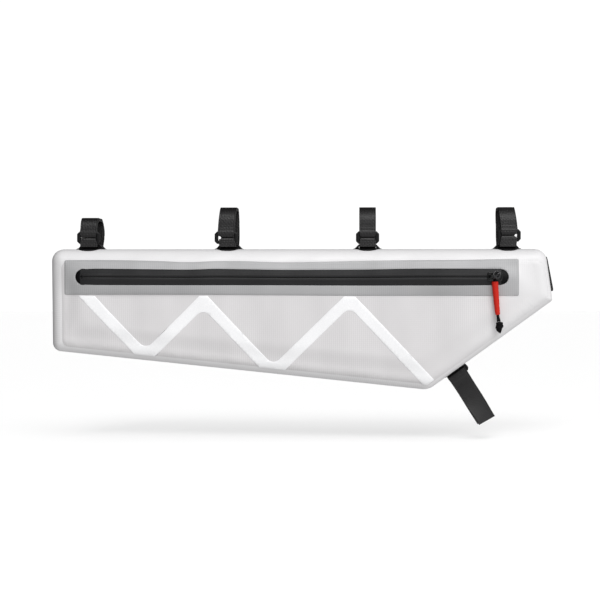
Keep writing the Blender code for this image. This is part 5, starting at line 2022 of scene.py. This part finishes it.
@dataclass
class Studio:
    """Pale floor, soft lights and the camera."""

    camera_spot: Triple = (62.9 * MM, -1.525, -68.8 * MM)
    target: Triple = (27.6 * MM, 0.0, -68.8 * MM)
    view_width: float = 0.580
    shift: float = -0.045
    sensor: float = 36.0
    floor_level: float = -0.204
    floor_size: float = 40.0
    floor_albedo: float = 0.30
    floor_glow: float = 0.612
    backdrop_glow: float = 1.05
    room_light: float = 0.40
    room_slope: Triple = (0.37, -0.25, -0.24)
    key_spot: Triple = (0.45, -1.25, 0.85)
    key_size: tuple[float, float] = (1.3, 0.6)
    key_aim: Triple = (0.0, 0.0, -80 * MM)
    key_power: float = 7.0
    scrim_power: float = 1.25
    scrim_angle: float = 40.0
    scrim_way: Triple = (0.12, -0.67, 0.73)
    # Light for the table alone: power, angle and direction
    washes: tuple[tuple[float, float, Triple], ...] = (
        (2.0, 24.0, (-0.1, -0.84, 0.54)), (1.15, 75.0, (0.0, -0.05, 1.0))
    )

    def build_camera(self) -> None:
        """The camera, at the height of the bag's middle."""
        data = bpy.data.cameras.new("camera")
        camera = add_object("camera", data)
        way = Vector(self.target) - Vector(self.camera_spot)
        camera.location = self.camera_spot
        camera.rotation_euler = way.to_track_quat("-Z", "Y").to_euler()
        data.sensor_width = self.sensor
        data.lens = self.sensor * way.length / self.view_width
        data.shift_x = self.shift
        data.clip_end = 100
        bpy.context.scene.camera = camera

    def add_stage(self, name: str, work: bmesh.types.BMesh, albedo: float, glow: float) -> Piece:
        """Adds a piece of the set that the camera sees and that throws no light on the bag.

        Args:
            name: its name.
            work: its mesh, which is used up.
            albedo: how much of its light it scatters.
            glow: how much light it gives by itself.

        Returns:
            The piece.
        """
        data = bpy.data.meshes.new(name)
        work.to_mesh(data)
        work.free()
        piece = add_object(name, data)
        opal = bpy.data.materials.new(f"{name}_opal_acrylic")
        opal.use_nodes = True
        shader = opal.node_tree.nodes["Principled BSDF"]
        shader.inputs["Base Color"].default_value = (albedo, albedo, albedo, 1)
        shader.inputs["Roughness"].default_value = 0.9
        shader.inputs["Specular IOR Level"].default_value = 0.0
        shader.inputs["Emission Color"].default_value = (1, 1, 1, 1)
        shader.inputs["Emission Strength"].default_value = glow
        data.materials.append(opal)
        piece.visible_diffuse = False
        piece.visible_glossy = False
        piece.visible_shadow = False
        return piece

    def build_set(self) -> Piece:
        """A wide table top, which is returned, and a white backdrop all round it."""
        half = self.floor_size / 2
        floor = bmesh.new()
        spots = ((-half, -half), (half, -half), (half, half), (-half, half))
        floor.faces.new([floor.verts.new((x, y, self.floor_level)) for x, y in spots])
        table = self.add_stage("floor", floor, self.floor_albedo, self.floor_glow)
        wall = bmesh.new()
        bmesh.ops.create_uvsphere(wall, u_segments=32, v_segments=16, radius=half * 0.9)
        self.add_stage("backdrop", wall, 0.0, self.backdrop_glow)
        return table

    def add_key(self) -> None:
        """Adds the soft box in front of the nose."""
        data = bpy.data.lights.new("key_box", "AREA")
        data.shape = "RECTANGLE"
        data.size, data.size_y = self.key_size
        data.energy = self.key_power
        light = add_object("key_box", data)
        light.location = self.key_spot
        way = Vector(self.key_aim) - Vector(self.key_spot)
        light.rotation_euler = way.to_track_quat("-Z", "Y").to_euler()

    def add_sun(self, name: str, power: float, angle: float, way: Triple) -> Piece:
        """Adds a large, far light.

        Args:
            name: its name.
            power: in watts a square metre.
            angle: how wide it looks, in degrees.
            way: the direction that it stands in.

        Returns:
            The light.
        """
        data = bpy.data.lights.new(name, "SUN")
        data.angle = math.radians(angle)
        data.energy = power
        sun = add_object(name, data)
        sun.rotation_euler = Vector(way).to_track_quat("Z", "Y").to_euler()
        return sun

    def build_room(self) -> None:
        """The light of a white room, which grows from its darkest side to its brightest."""
        world = bpy.data.worlds.new("white_room")
        world.use_nodes = True
        tree = world.node_tree
        where = add_node(tree, "TexCoord")
        along = add_node(
            tree, "VectorMath", settings={"operation": "DOT_PRODUCT"},
            values={1: self.room_slope}, links={0: where.outputs["Generated"]},
        )  # fmt: skip
        level = add_node(
            tree, "Math", settings={"operation": "ADD", "use_clamp": True},
            values={1: self.room_light}, links={0: along.outputs["Value"]},
        )  # fmt: skip
        tree.links.new(level.outputs[0], tree.nodes["Background"].inputs["Strength"])
        tree.nodes["Background"].inputs["Color"].default_value = (1, 1, 1, 1)
        bpy.context.scene.world = world

    def build(self) -> None:
        """Builds the studio round the bag."""
        table = self.build_set()
        self.build_room()
        self.add_key()
        self.add_sun("overhead_scrim", self.scrim_power, self.scrim_angle, self.scrim_way)
        lit = bpy.data.collections.new("table_only")
        lit.objects.link(table)
        for i, (power, angle, way) in enumerate(self.washes):
            wash = self.add_sun(f"table_wash_{i + 1}", power, angle, way)
            wash.light_linking.receiver_collection = lit
        bpy.context.scene.view_settings.view_transform = "Standard"
        bpy.context.scene.view_settings.look = "None"


def main() -> None:
    """Builds the studio and the bag, piece by piece."""
    logging.basicConfig(level=logging.INFO, format="%(name)s: %(message)s")
    studio = Studio()
    studio.build_camera()
    form = BagForm()
    zip_set = ZipSet(form)
    slider = Slider(form, zip_set.nose)
    Pull().build(slider)
    Shell(form).build()
    zip_set.build()
    slider.build()
    ZigzagStripe(form).build()
    pitch = 133.5 * MM
    # Lean in front, kind, radius and place of the slot's open eye, lean at the back, the buckle's
    # drop below the axis, lean at the top
    straps = (
        (-0.3 * MM, LoopKind.SHORT, 0.0, 0.0, 1.4 * MM, 9.2 * MM, 0.0),
        (-1.7 * MM, LoopKind.LONG, 1.4 * MM, -6.5 * MM, 0.6 * MM, 9.2 * MM, 0.0),
        (0.0, LoopKind.LONG, 0.9 * MM, -7.3 * MM, 0.0, 9.2 * MM, 0.0),
        (1.3 * MM, LoopKind.LONG, 1.2 * MM, 6.5 * MM, -0.6 * MM, 7.2 * MM, -0.9 * MM),
    )
    for i, (lean, kind, *rest) in enumerate(straps):
        place = pitch * (i - (len(straps) - 1) / 2)
        TopStrap(form, i + 1, place, lean, kind, *rest).build()
    LowerStrap(form).build()
    EndPatch(form).build()
    studio.build()


if __name__ == "__main__":
    main()
